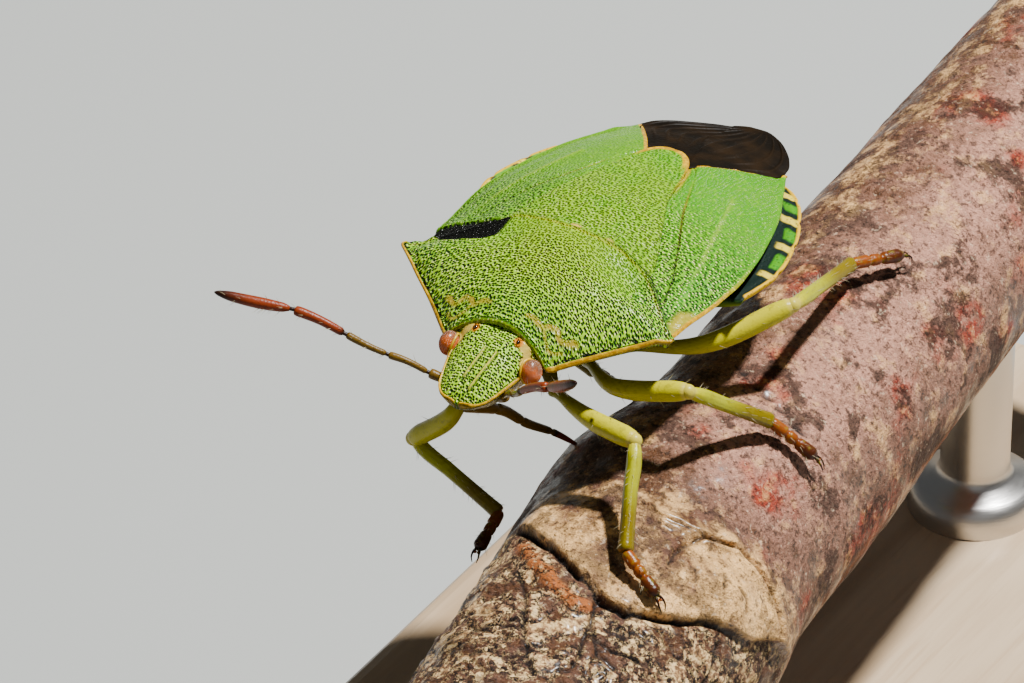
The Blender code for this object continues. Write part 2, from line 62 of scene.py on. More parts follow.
# Camera: where it stands in the bug's frame, and which way is right and up in its view
CAMERA_AZIMUTH = math.radians(32.012)
CAMERA_ELEVATION = math.radians(34.669)
CAMERA_PLACE = (77.45, -125.99, 100.59)
CAMERA_LENS = 268.1
CAMERA_SENSOR = 36.0
CAMERA_CLIP = (0.01, 5.0)

# Lights: which way each is from the bug, how far in metres, and the point that they aim at
KEY_TOWARDS, KEY_DISTANCE = Vector((0.24, 0.28, 0.93)), 0.22
FILL_TOWARDS, FILL_DISTANCE, FILL_SIZE = Vector((0.55, -0.75, 0.5)), 0.30, 0.25
LIGHT_AIM = (1.0, 1.0, 0.0)
SKY_COLOUR = (0.90, 0.95, 1.0, 1.0)
FLOOR_REACH = 1.5

# Head, as stations (y, value)
HEAD_HALF = (
    (-4.55, 0.1), (-4.49, 0.40), (-4.38, 0.57), (-4.2, 0.70), (-3.9, 0.81), (-3.6, 0.90), (-3.3, 0.98),
    (-2.9, 1.05), (-2.7, 1.18), (-2.35, 1.30),
)
HEAD_EDGE = ((-4.55, -0.78), (-4.0, -0.64), (-3.4, -0.5), (-2.9, -0.40), (-2.7, -0.30), (-2.35, -0.22))
HEAD_CROWN = (
    (-4.55, -0.76), (-4.2, -0.48), (-3.8, -0.24), (-3.3, -0.02), (-2.9, 0.11), (-2.64, 0.18), (-2.35, 0.30),
)
HEAD_KEEL = ((-4.55, -0.92), (-4.1, -1.15), (-3.5, -1.42), (-2.4, -1.5))
HEAD_REACH = (-4.55, -2.35)
HEAD_BULGE = 2.4
HEAD_FULLNESS = 4.0
CLYPEUS_LINES = (
    ((0.27, -3.22), (0.26, -3.45), (0.21, -3.83), (0.15, -4.2)),
    ((-0.05, -3.22), (-0.05, -3.4), (-0.08, -3.66), (-0.12, -4.0)),
)
HEAD_SEAMS = (((0.15, -4.2), (0.08, -4.38), (0.05, -4.55)), ((-0.12, -4.0), (-0.08, -4.2), (0.03, -4.45)))
EYE_CENTRE = np.array((1.13, -3.05, -0.36))
EYE_RADII = np.array((0.225, 0.275, 0.305))
OCELLUS = (0.58, -2.75)
CREAM_LINE = ((0.72, -2.74), (0.84, -2.79), (0.92, -2.88), (0.92, -3.02))

# Pronotum, scutellum and wings
PRONOTUM_LEFT = (
    (-2.85, 1.43), (-2.1, 2.26), (-1.4, 3.05), (-1.05, 3.48), (-0.90, 3.63), (-0.74, 3.60), (-0.5, 3.20),
    (-0.2, 2.86), (0.1, 2.50), (0.36, 2.14), (0.52, 1.7), (0.60, 1.1),
)
PRONOTUM_RIGHT = (
    (-2.85, 1.43), (-2.1, 2.30), (-1.4, 3.20), (-1.0, 3.70), (-0.78, 3.90), (-0.56, 3.84), (-0.38, 3.44),
    (-0.24, 2.96), (-0.06, 2.42), (0.14, 2.02), (0.38, 1.76), (0.60, 1.4),
)
PRONOTUM_EDGE = ((-2.85, -0.36), (-1.6, 0.0), (-0.92, 0.18), (-0.35, 0.20), (0.05, 0.25), (0.6, 0.30))
PRONOTUM_CROWN = ((-2.85, 0.20), (-2.0, 0.71), (-1.0, 1.08), (0.0, 1.26), (0.6, 1.30))
PRONOTUM_LEFT_REAR = (
    (0, 0.60), (1.1, 0.60), (2.14, 0.36), (2.5, 0.10), (2.86, -0.2), (3.2, -0.5), (3.6, -0.8),
)
PRONOTUM_RIGHT_REAR = (
    (0, 0.60), (1.4, 0.60), (1.76, 0.38), (2.42, -0.06), (2.96, -0.24), (3.4, -0.38), (3.8, -0.7),
)
PRONOTUM_REACH = (-2.85, 0.60)
PRONOTUM_HOLLOW = 0.27
PRONOTUM_MARGINS = ((PRONOTUM_LEFT, 1, (-2.85, -0.86)), (PRONOTUM_RIGHT, -1, (-2.85, -0.66)))
CALLUS_LINES = (
    ((0.52, -2.24), (0.70, -2.22), (0.90, -2.28), (1.06, -2.18), (1.26, -2.14), (1.44, -2.26), (1.78, -2.12)),
    ((0.96, -2.28), (1.14, -2.46), (1.34, -2.56), (1.56, -2.44)),
)
BACK_CROWN = ((0.5, 1.20), (2.0, 1.12), (3.3, 0.96), (5.0, 0.72), (6.3, 0.42), (7.4, 0.06), (8.15, -0.14))
BACK_EDGE = ((0.3, 0.05), (3.0, -0.12), (6.6, -0.15), (8.15, -0.2))
COSTAL_HALF = (
    (-0.8, 3.48), (-0.1, 3.54), (0.6, 3.60), (2.0, 3.68), (3.0, 3.58), (4.0, 3.36), (5.0, 3.05),
    (6.0, 2.58), (6.78, 2.20),
)
SCUTELLUM_LEFT = (
    (0.3, 2.3), (0.8, 2.14), (1.32, 1.93), (2.34, 1.46), (3.09, 1.13), (4.05, 0.88), (4.7, 0.70),
    (5.05, 0.50), (5.24, 0.28), (5.31, 0.10),
)
SCUTELLUM_RIGHT = (
    (0.3, 2.0), (1.08, 1.66), (1.83, 1.42), (2.61, 1.22), (3.36, 1.03), (4.2, 0.82), (4.7, 0.66),
    (5.05, 0.50), (5.24, 0.28), (5.31, 0.10),
)
SCUTELLUM_REACH = (0.3, 5.31)
SCUTELLUM_TIP = (4.3, 5.31)
SCUTELLUM_SPOTS = ((0.0, 0.74), (0.92, 0.72))
SPOT_SIZE = (0.16, 0.075)
CLAVUS_REAR = 4.94
CORIUM_REACH = (-0.75, 6.78)
CORIUM_REAR = ((4.94, 0.60), (5.34, 0.95), (5.99, 1.63), (6.78, 2.18))
CORIUM_REAR_RIGHT = ((4.94, 0.58), (5.5, 0.92), (6.1, 1.33), (6.78, 1.84))
CLAVUS_LINE = ((2.85, 0.0), (2.62, 0.8), (2.12, 1.9), (1.62, 2.9), (1.22, 3.9), (0.98, 4.5), (0.72, 4.95))
CORIUM_VEIN = ((3.1, 0.2), (2.85, 1.6), (2.5, 3.0), (2.1, 4.4))
CORIUM_FORK = ((3.4, -0.2), (3.35, 1.2), (3.1, 2.6), (2.7, 4.2))
STRIP_FRONT = (
    (-3.80, 0.2), (-3.32, -0.31), (-2.69, -0.62), (-2.02, -0.55), (-1.59, -0.33), (-1.43, -0.15), (0, 0.6),
)
BLACK_STRIP = ((-3.80, -0.10), (-3.36, 0.36), (-2.6, 0.33), (-2.09, 0.44), (-1.72, 0.50))
STRIP_RIPPLE = 0.13
MEMBRANE_REACH = (4.8, 8.32)
MEMBRANE_LEFT = (
    (4.8, 0.6), (5.34, 1.08), (5.99, 1.74), (6.62, 2.16), (7.0, 2.12), (7.4, 1.92), (7.75, 1.62), (8.1, 1.22),
    (8.26, 0.92), (8.32, 0.66),
)
MEMBRANE_RIGHT = (
    (4.8, 0.6), (5.34, 1.0), (5.99, 1.5), (6.62, 2.0), (7.0, 1.80), (7.4, 1.26), (7.75, 0.72), (8.1, 0.16),
    (8.26, -0.16), (8.32, -0.40),
)
ROLL = 0.05
ROLL_REACH = (0.6, 3.2)
VEINS = (0.10, 0.30, 0.50, 0.70, 0.88)

# Abdomen and thorax
ABDOMEN_HALF = (
    (2.2, 3.80), (2.5, 3.90), (3.2, 4.03), (4.57, 3.76), (5.88, 3.14), (6.6, 2.60), (7.2, 1.85),
    (7.55, 1.1), (7.72, 0.4),
)
ABDOMEN_REACH = (2.0, 7.72)
ABDOMEN_RIM = ((2.5, -0.44), (6.0, -0.46), (6.7, -0.60), (7.7, -0.80))
ABDOMEN_FLOOR = ((2.0, 0.85), (3.2, 1.15), (4.0, 1.42), (5.0, 1.3), (6.0, 1.0), (7.0, 0.5), (7.72, 0.15))
SEGMENTS = (3.33, 4.48, 5.42, 6.25, 6.95)
THORAX_HALF = (
    (-2.75, 1.25), (-2.1, 1.85), (-1.4, 2.5), (-0.7, 2.95), (0.0, 3.10), (1.0, 3.2), (2.4, 3.45),
)
THORAX_REACH = (-2.75, 2.6)
THORAX_TOP = ((-2.75, -0.55), (-1.6, -0.22), (-0.9, -0.06), (0.0, -0.16), (2.6, -0.30))
THORAX_KEEL = ((-2.75, -1.42), (-1.0, -1.50), (2.6, -1.50))
PLEURA = (-1.15, 0.35, 1.75)

# Legs: coxa, middle of the femur, knee, end of the tibia, end of the tarsus
LEGS = {
    "leg_front_left": ((0.9, -1.7, -1.75), (2.2, -2.25, -1.72), (3.66, -2.61, -1.61), (4.64, -4.6, -3.17),
                       (5.86, -4.98, -3.92)),
    "leg_middle_left": ((0.95, -0.3, -1.7), (2.2, -0.98, -1.62), (4.0, -0.78, -1.19), (5.06, 1.26, -2.85),
                        (6.28, 1.64, -3.82)),
    "leg_hind_left": ((1.3, 0.85, -1.85), (2.9, 1.5, -1.62), (4.56, 3.08, -0.79), (4.0, 6.85, -1.98),
                      (4.76, 8.42, -2.3)),
    "leg_front_right": ((-0.93, -1.8, -1.7), (-1.35, -2.6, -2.75), (-2.54, -2.45, -3.97),
                        (-0.08, -2.53, -5.15), (0.16, -4.0, -5.36)),
    "leg_middle_right": ((-1.0, -0.4, -1.7), (-1.9, 0.8, -2.3), (-2.9, 2.0, -2.9), (-0.55, 2.6, -4.3),
                         (0.02, 3.35, -5.25)),
    "leg_hind_right": ((-1.25, 1.05, -1.7), (-2.1, 2.8, -2.1), (-2.87, 4.6, -2.6), (0.05, 6.5, -4.25),
                       (-0.16, 7.9, -4.92)),
}
FEMUR = ((0.0, 0.17), (0.08, 0.13), (0.3, 0.18), (0.62, 0.245), (0.86, 0.25), (0.96, 0.22), (1.0, 0.17))
TIBIA = ((0.0, 0.12), (0.04, 0.15), (0.12, 0.175), (0.5, 0.165), (0.9, 0.175), (0.97, 0.185), (1.0, 0.15))
TARSUS = (
    (0.0, 0.11), (0.06, 0.14), (0.3, 0.155), (0.36, 0.11), (0.42, 0.145), (0.52, 0.14), (0.57, 0.10),
    (0.64, 0.15), (0.9, 0.17), (1.0, 0.10),
)
KNEE_RADII = (0.185, 0.185, 0.185)
PAD_RADII = (0.05, 0.05, 0.035)
CLAW = ((0.5, 0.32, 0.0), (0.95, 0.36, 0.08), (1.1, 0.22, 0.2))  # out and aside in lengths, and down
CLAW_LENGTH = 0.24
LIMB_SPAN = 5.0  # the most that the along mark of a limb reaches
FLECKED_LEG = "leg_front_left"
FLECK = (2.42, -2.55, -1.52)  # a dark dot on its femur

# Feelers: the ends of their five segments
ANTENNA_RIGHT = (
    (-0.50, -3.50, -1.02), (-1.29, -3.71, -0.86), (-2.22, -4.02, -0.51), (-3.19, -4.31, -0.12),
    (-4.40, -4.69, 0.36), (-6.13, -5.48, 0.69),
)
ANTENNA_LEFT = (
    (0.50, -3.50, -1.05), (0.86, -3.75, -0.72), (1.45, -4.34, -0.08), (2.04, -4.97, 0.60),
    (3.08, -5.48, 1.39), (4.37, -6.33, 2.50),
)
ANTENNA_RADII = (0.115, 0.085, 0.085, 0.115, 0.135)
FEELER_SEGMENT = ((0, 0.55), (0.06, 0.85), (0.5, 0.95), (0.9, 1.08), (0.98, 0.95), (1.0, 0.6))
FEELER_TIP = ((0, 0.45), (0.1, 0.85), (0.4, 1.05), (0.75, 0.9), (0.95, 0.45), (1.0, 0.12))
BEAK = ((0.0, -4.1, -1.15), (0.02, -3.4, -1.55), (0.10, -2.6, -2.10), (0.28, -1.93, -2.78),
        (0.52, -1.03, -3.52), (0.76, -0.35, -4.2))
BEAK_RADII = ((0.0, 0.12), (0.15, 0.15), (0.4, 0.13), (0.7, 0.10), (0.9, 0.07), (1.0, 0.03))
BEAK_JOINTS = (0.28, 0.52, 0.77)

# Branch: its axis, its shape as in the solids, and marks of its bark as (along, degrees from the top)
BRANCH_START = np.array((3.58, 0.0, -6.52))
BRANCH_ALONG = np.array((-0.027, 0.993, 0.117)) / np.linalg.norm((-0.027, 0.993, 0.117))
BRANCH_REACH = (-9.2, 21.0)
BRANCH_RADIUS = 3.30
BRANCH_TAPER = 0.0233
BRANCH_BOW = 0.42
BOW_REACH = (-2.5, -8.5)
SIDEWAYS = math.radians(123)
VIEW_SIDE = math.radians(33)
EDGE_STRIPE = math.radians(108)
BARK_RIPPLES = ((0.05, 3, 0.4), (0.03, 5, -0.7))
SWELLINGS = (
    (0.20, -0.9, 2.6, -57, 1.0), (0.35, -2.0, 1.6, 118, 0.8), (0.12, -3.2, 1.4, 30, 1.2),
    (0.30, 0.3, 1.6, -57, 0.9),
)
LEDGE = (
    (-3.3, -50), (-3.72, -35), (-4.23, -22), (-4.8, -5), (-5.29, 13), (-5.28, 24), (-4.84, 34),
    (-4.54, 42), (-3.81, 55), (-3.22, 69), (-2.17, 83), (-1.6, 100),
)
LIP = ((-4.10, -36), (-4.98, -18), (-5.46, -6), (-5.69, 3), (-5.66, 10))
KNOB = (-2.95, 53)
KNOB_ARC = (
    (-3.4, 27), (-2.69, 27), (-2.21, 31), (-1.87, 36), (-1.63, 43), (-1.57, 50), (-1.58, 59), (-1.67, 69),
    (-2.0, 80),
)
KNOB_MARKS = (((-3.1, 36), (-3.44, 38)), ((-2.7, 46), (-3.1, 48)), ((-2.7, 52), (-2.76, 57), (-3.0, 60)))
FOLD = ((-1.9, -12), (-2.28, 2), (-2.31, 12), (-2.22, 25), (-2.03, 35), (-1.7, 42))
CRACKS = (
    ((-5.2, -26), (-5.8, -18), (-6.9, -8), (-7.75, 1), (-8.14, 6)),
    ((-5.4, 12), (-5.85, 14), (-6.37, 19), (-6.66, 24), (-6.67, 31)),
    ((-5.85, 14), (-6.53, 16), (-6.98, 18), (-7.38, 18)),
    ((-6.37, 19), (-6.3, 30), (-6.1, 38)),
    ((-6.9, -8), (-7.0, -20), (-7.3, -30)),
    ((-4.0, 60), (-4.6, 66), (-5.2, 68), (-5.6, 76)),
    ((3.2, -4), (2.7, 12), (2.5, 26), (2.3, 38)),
)
RED_PATCH = (0.9, 45)
CUT_SHARES = np.array((0.985, 0.93, 0.9, 0.6, 0.3, 0.03))  # rings of a sawn end, as shares of the radius
ROD_COLLAR = (  # (height over the base, width in radii)
    (-0.45, 1.9), (-0.25, 1.9), (0.0, 1.9), (0.35, 1.85), (0.55, 1.6), (0.7, 1.15), (0.9, 1.0), (1.0, 1.0),
)

# Plates: their thickness and the rounding of their edges
PRONOTUM_PLATE = (0.3, 0.08)
SCUTELLUM_PLATE = (0.3, 0.06)
CORIUM_PLATE = (0.25, 0.05)
MEMBRANE_PLATE = (0.16, 0.035)

# How finely each piece is made. Columns are those of its upper and its lower side
OUTLINE_STEPS = 60
HEAD_ROWS, HEAD_COLUMNS = 140, (170, 50)
PRONOTUM_ROWS, PRONOTUM_COLUMNS = 150, (270, 40)
SCUTELLUM_ROWS, SCUTELLUM_COLUMNS = 170, (170, 30)
CORIUM_ROWS, CORIUM_COLUMNS = 230, (150, 24)
MEMBRANE_ROWS, MEMBRANE_COLUMNS = 130, (190, 30)
ABDOMEN_ROWS, ABDOMEN_COLUMNS = 230, (170, 110)
THORAX_ROWS, THORAX_COLUMNS = 150, (40, 180)
LEG_RINGS, LEG_SIDES = 80, 24
TARSUS_RINGS, TARSUS_SIDES = 60, 20
STUB_RINGS, FEELER_RINGS, BEAK_RINGS = 12, 44, 90
EYE_RIM_STEPS = (60, 12)
EYE_DETAIL = 5
BARK_ROWS, BARK_SIDES = (190, 150), 280
ROD_RINGS, ROD_SIDES = 10, 48

# Pits, as the gap along a row and the gap between rows, and parts of the finishes
HEAD_PITS = (0.070, 0.064)
PRONOTUM_PITS = (0.078, 0.064)
SCUTELLUM_PITS = (0.095, 0.080)
CORIUM_PITS = (0.095, 0.084)
# Offset of the painted glint from its pit, in pit gaps along and across the rows
GLINT_OFFSET = (0.12, 0.45, 0.0)
FACET_SIZE = 0.0000085
HAIR_PATCH = (0.003, 0.003, 0.003)  # the part of the map that one hair takes
NEARLY_CLOSED = 1e-7
BARK_CROWDING = 0.42  # how much closer the bark's columns lie on the seen side

# Seeded noise
HASH_WAY, HASH_SCALE = (12.9898, 78.233, 37.719), 43758.5453
OCTAVE_SHIFT, OCTAVE_SHARE = 17.3, 0.55

# Marks held as vectors, and dark colours
VECTOR_MARKS = ("lean", "pits_at", "unwrap")
BLACK = (0.004, 0.004, 0.003)
DARK_GREEN = (0.006, 0.014, 0.011)
BLACK_BROWN = (0.012, 0.010, 0.003)


# Maths on arrays of points

def through(stations, at):
    """The smooth curve through (place, value) stations, with no overshoot."""
    places, values = np.array(stations, float).T
    slopes = np.diff(values) / np.diff(places)
    level = slopes[:-1] * slopes[1:] <= 0
    mean = np.where(level, 0, 2 * slopes[:-1] * slopes[1:] / np.where(level, 1, slopes[:-1] + slopes[1:]))
    tangents = np.concatenate([slopes[:1], mean, slopes[-1:]])
    at = np.clip(at, places[0], places[-1])
    i = np.clip(np.searchsorted(places, at, "right") - 1, 0, len(slopes) - 1)
    step = places[i + 1] - places[i]
    s = (at - places[i]) / step
    bend = (1 - s) * tangents[i] - s * tangents[i + 1] + (2 * s - 1) * slopes[i]
    return values[i] + s * (values[i + 1] - values[i]) + s * (1 - s) * step * bend


def fade(value, low, high):
    """0 at low and 1 at high, eased between them."""
    share = held((value - low) / (high - low))
    return share * share * (3 - 2 * share)


def held(value):
    """A value kept between 0 and 1."""
    return np.clip(value, 0, 1)


def bump(at, centre, width):
    """A soft ridge, 1 at its centre."""
    return np.exp(-(((at - centre) / width) ** 2))


def away(points, line):
    """How far each point is from a line of straight stretches."""
    points = np.asarray(points, float)
    nearest = np.full(points.shape[:-1], 1e9)
    for start, end in zip(np.array(line[:-1], float), np.array(line[1:], float)):
        share = held((points - start) @ (end - start) / max((end - start) @ (end - start), 1e-12))
        gap = np.linalg.norm(points - start - share[..., None] * (end - start), axis=-1)
        nearest = np.minimum(nearest, gap)
    return nearest


def noise(points, size, seed=0, octaves=1):
    """Smooth seeded noise from about -1 to 1, in lumps of the given size."""
    total = np.zeros(points.shape[:-1])
    weight = 0.0
    for octave in range(octaves):
        at = points / size * 2**octave + OCTAVE_SHIFT * octave + seed
        cell = np.floor(at)
        share = at - cell
        share = share * share * (3 - 2 * share)
        value = np.zeros(points.shape[:-1])
        for corner in np.ndindex(2, 2, 2):
            mixed = np.sin((cell + corner) @ HASH_WAY) * HASH_SCALE
            value += np.prod(np.where(corner, share, 1 - share), axis=-1) * (mixed - np.floor(mixed))
        total += (2 * value - 1) * OCTAVE_SHARE**octave
        weight += OCTAVE_SHARE**octave
    return total / weight


def stray(points, size, seed, octaves):
    """A smooth shift in two directions, each with a seed of its own."""
    return np.stack([noise(points, size, seed + i, octaves) for i in (0, 1)], -1)


def smooth_path(points, steps):
    """More points along the same route, curved through the ones given."""
    points = np.array(points, float)
    lengths = np.concatenate([[0], np.cumsum(np.linalg.norm(np.diff(points, axis=0), axis=1))])
    at = np.linspace(0, lengths[-1], steps)
    return np.stack([through(list(zip(lengths, values)), at) for values in points.T], -1)


def unit(vectors):
    return vectors / np.maximum(np.linalg.norm(vectors, axis=-1, keepdims=True), 1e-12)


def arched(crown, edge, half, power=2.0):
    """A height that falls from a crown line to an edge line across the body."""
    def height(x, y):
        share = held(np.abs(x) / through(half, y))
        low = through(edge, y)
        return low + (through(crown, y) - low) * (1 - share**power)
    return height


back_arch = arched(BACK_CROWN, BACK_EDGE, COSTAL_HALF)
pronotum_arch = arched(PRONOTUM_CROWN, PRONOTUM_EDGE, PRONOTUM_LEFT)


def back_top(x, y):
    return back_arch(x, y) + ROLL * np.abs(x) * fade(y, *ROLL_REACH)


def two_sided(left, right):
    """The edges of a plate at a place along the body, from a table for each side."""
    return lambda y: (-through(right, y), through(left, y))


def pronotum_rear(x):
    """Where the pronotum's rear margin lies at a place across it."""
    left = through(PRONOTUM_LEFT_REAR, np.abs(x))
    return np.where(x > 0, left, through(PRONOTUM_RIGHT_REAR, np.abs(x)))


def pronotum_top(x, y):
    near_rear = fade(pronotum_rear(x) - y, 0.9, 0.0)
    return pronotum_arch(x, y) * (1 - near_rear) + (back_top(x, y) + 0.09) * near_rear


# Meshes

class Form:
    """Closed surfaces gathered into one piece, with marks that its finish reads."""

    def __init__(self):
        self.points, self.quads, self.caps, self.marks = [], [], [], []
        self.count = 0

    def add(self, rings, **marks):
        """Adds the closed surface through a stack of rings. A mark may be a function of its points."""
        rows, around = rings.shape[:2]
        index = np.arange(rows * around).reshape(rows, around)
        near, far = index[:-1], index[1:]
        quads = np.stack([near, np.roll(near, -1, 1), np.roll(far, -1, 1), far], -1).reshape(-1, 4)
        points = rings.reshape(-1, 3)
        marks = {key: mark(points) if callable(mark) else mark for key, mark in marks.items()}
        corners = points[quads] - points.mean(0)
        crosses = (np.cross(corners[:, i], corners[:, i + 1]) for i in (1, 2))
        volume = sum(np.einsum("ij,ij->i", corners[:, 0], cross).sum() for cross in crosses)
        caps = [index[0, ::-1], index[-1]]
        if volume < 0:
            quads, caps = quads[:, ::-1], [cap[::-1] for cap in caps]
        self.points.append(points)
        self.quads.append(quads + self.count)
        self.caps += [(cap + self.count).tolist() for cap in caps]
        self.marks.append((len(points), marks))
        self.count += len(points)

    def limb(self, path, radii, sides, along, section=None, **marks):
        """Adds a swept limb, marked with its length, the way its hairs lean and its unwrap."""
        path, along = np.asarray(path, float), np.repeat(along, sides)
        turn = np.tile(np.arange(sides) / sides, len(path))
        self.add(
            sweep(path, radii, sides, section), along=along,
            lean=np.repeat(unit(np.gradient(path, axis=0)), sides, axis=0),
            unwrap=np.stack([turn, along / LIMB_SPAN, 0 * turn], -1), **marks,
        )

    def build(self, name, finish, slot=None, replaces=()):
        """Makes the piece in the scene, in metres, and hands it to the frame."""
        mesh = bpy.data.meshes.new(name)
        points = (np.concatenate(self.points) + BODY_PLACE) * MM
        mesh.from_pydata(points.tolist(), [], np.concatenate(self.quads).tolist() + self.caps)
        for mark in sorted({key for _, marks in self.marks for key in marks}):
            vector = mark in VECTOR_MARKS
            width, kind, field = (3, "FLOAT_VECTOR", "vector") if vector else (1, "FLOAT", "value")
            values = [
                np.broadcast_to(np.reshape(marks.get(mark, np.zeros(width)), (-1, width)), (count, width))
                for count, marks in self.marks
            ]
            layer = mesh.attributes.new(mark, kind, "POINT")
            layer.data.foreach_set(field, np.concatenate(values).astype(np.float32).ravel())
        mesh.materials.append(finish)
        mesh.shade_smooth()
        return hand_over(placed(name, mesh), slot, replaces)


def placed(name, mesh):
    """A new object in the scene, at the origin."""
    made = bpy.data.objects.new(name, mesh)
    bpy.context.scene.collection.objects.link(made)
    return made


def single(name, node, rings, finish, slot, **marks):
    """A piece of one closed surface, in place of one node."""
    form = Form()
    form.add(rings, **marks)
    return form.build(name, finish, slot, [node])


def hand_over(piece, slot=None, replaces=()):
    """Lets a finished piece ride with the frame, in place of the nodes it stands for."""
    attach(piece, "root")
    if replaces:
        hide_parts(*replaces)
    return piece


def spread(columns, ends=0.25):
    """Places across from -1 to 1, a little closer together at the ends."""
    even = np.linspace(-1, 1, columns)
    return (1 - ends) * even + ends * np.sin(even * math.pi / 2)


def across_of(count, lower, ends=0.25):
    """Places across the upper side from left to right, or the lower side between its edges and back."""
    return spread(count + 2, ends)[::-1][1:-1] if lower else spread(count, ends)


def shell(stations, half, counts, ends, *heights):
    """Rings with an upper and a lower side of their own heights. It also says which points are upper ones."""
    sides = []
    for lower, (count, height) in enumerate(zip(counts, heights)):
        across = across_of(count, lower, ends)
        x = half[:, None] * across
        y = np.broadcast_to(stations[:, None], x.shape)
        sides.append(np.stack([x, y, height(x, y, across)], -1))
    return np.concatenate(sides, 1), np.tile(np.arange(sum(counts)) < counts[0], len(stations))


def plate(stations, sides, top, counts, thickness, rim, bend=None):
    """Rings of a thin plate whose edges are rounded. It also gives how far each point is from the edge."""
    low, high = np.array([sides(y) for y in stations]).T
    rows, edges = [], []
    for lower, count in enumerate(counts):
        across = across_of(count, lower)
        share = np.broadcast_to(across, (len(stations), len(across)))
        x = (low[:, None] + high[:, None]) / 2 + share * (high - low)[:, None] / 2
        along = (stations - stations[0]) / (stations[-1] - stations[0])
        y = stations[:, None] + (bend(share, along[:, None]) if bend else 0 * share)
        ends = np.minimum(stations - stations[0], stations[-1] - stations)[:, None]
        edge = np.minimum((1 - np.abs(share)) * (high - low)[:, None] / 2, ends)
        drop = rim * (1 - np.sqrt(1 - (1 - np.clip(edge / rim, 0.12, 1)) ** 2))
        z = top(x, y)
        z = z - 2 * rim + drop - (thickness - 2 * rim) * fade(edge, 0, 4 * rim) if lower else z - drop
        rows.append(np.stack([x, y, z], -1))
        edges.append(edge)
    return np.concatenate(rows, 1), np.concatenate(edges, 1).ravel()


def sweep(path, radii, sides=20, section=None):
    """Rings round a path. section(angles, share) changes the radius round the limb."""
    path = np.asarray(path, float)
    ahead = unit(np.gradient(path, axis=0))
    aside = unit(np.cross(ahead[0], (0.0, 0.0, 1.0) if abs(ahead[0][2]) < 0.95 else (1.0, 0.0, 0.0)))
    angles = np.linspace(0, 2 * math.pi, sides, endpoint=False)
    rings = []
    for i, (place, way, radius) in enumerate(zip(path, ahead, radii)):
        aside = unit(aside - (aside @ way) * way)
        above = np.cross(aside, way)
        shape = section(angles, i / (len(path) - 1)) if section else np.ones(sides)
        out = np.cos(angles)[:, None] * above + np.sin(angles)[:, None] * aside
        rings.append(place + out * (radius * shape)[:, None])
    return np.array(rings)


def ball(centre, radii, rings=16, sides=24):
    """Rings of an ellipsoid, with tiny ends."""
    angles = np.linspace(0.04, math.pi - 0.04, rings)[:, None]
    around = np.linspace(0, 2 * math.pi, sides, endpoint=False)
    shape = (np.sin(angles) * np.cos(around), np.sin(angles) * np.sin(around), np.cos(angles) + 0 * around)
    return np.stack(shape, -1) * radii + np.asarray(centre)


def laid_out(rings):
    """Rings as points, with the x and y of each, and its place on one half of the body."""
    points = rings.reshape(-1, 3)
    x, y = points[:, 0], points[:, 1]
    return points, x, y, np.stack([np.abs(x), y], -1)


def pit_rows(x, y, gap, row):
    """Where each point lies among the pits, from their gap along a row and the gap between rows."""
    return np.stack([x / gap, y / row, 0 * x], -1)


# Node trees and finishes

class Tree:
    """A node tree, built node by node."""

    def feed(self, socket, value):
        value = getattr(value, "socket", value)
        if isinstance(value, bpy.types.NodeSocket):
            self.tree.links.new(value, socket)
        elif value is not None:
            socket.default_value = (*value, 1.0) if socket.type == "RGBA" and len(value) == 3 else value

    def feed_named(self, node, named):
        for socket, value in named.items():
            self.feed(node.inputs[socket.replace("_", " ")], value)

    def node(self, kind, settings=None, *values, **named):
        """A node with its settings made first, then its sockets fed in order or by name."""
        made = self.tree.nodes.new(kind)
        for setting, value in (settings or {}).items():
            setattr(made, setting, value)
        for socket, value in zip(made.inputs, values):
            self.feed(socket, value)
        self.feed_named(made, named)
        return made

    def vectors(self, operation, *values):
        return self.node("ShaderNodeVectorMath", {"operation": operation}, *values).outputs[0]


class Value:
    """A number that varies over a surface, with the arithmetic that the finishes use."""

    def __init__(self, finish, socket):
        self.finish, self.socket = finish, socket

    def maths(self, operation, *others, clamp=False):
        settings = {"operation": operation, "use_clamp": clamp}
        return Value(self.finish, self.finish.node("ShaderNodeMath", settings, *others).outputs[0])

    def __add__(self, other):
        return self.maths("ADD", self, other)

    def __mul__(self, other):
        return self.maths("MULTIPLY", self, other)

    def __sub__(self, other):
        return self.maths("SUBTRACT", self, other)

    def __rsub__(self, other):
        return self.maths("SUBTRACT", other, self)

    __radd__, __rmul__ = __add__, __mul__

    def clipped(self):
        return self.maths("ADD", self, 0.0, clamp=True)

    def fade(self, low, high):
        """0 at low and 1 at high, eased between them."""
        settings = {"interpolation_type": "SMOOTHSTEP"}
        ends = (high, low, 1.0, 0.0) if low > high else (low, high, 0.0, 1.0)
        return Value(self.finish, self.finish.node("ShaderNodeMapRange", settings, self, *ends).outputs[0])


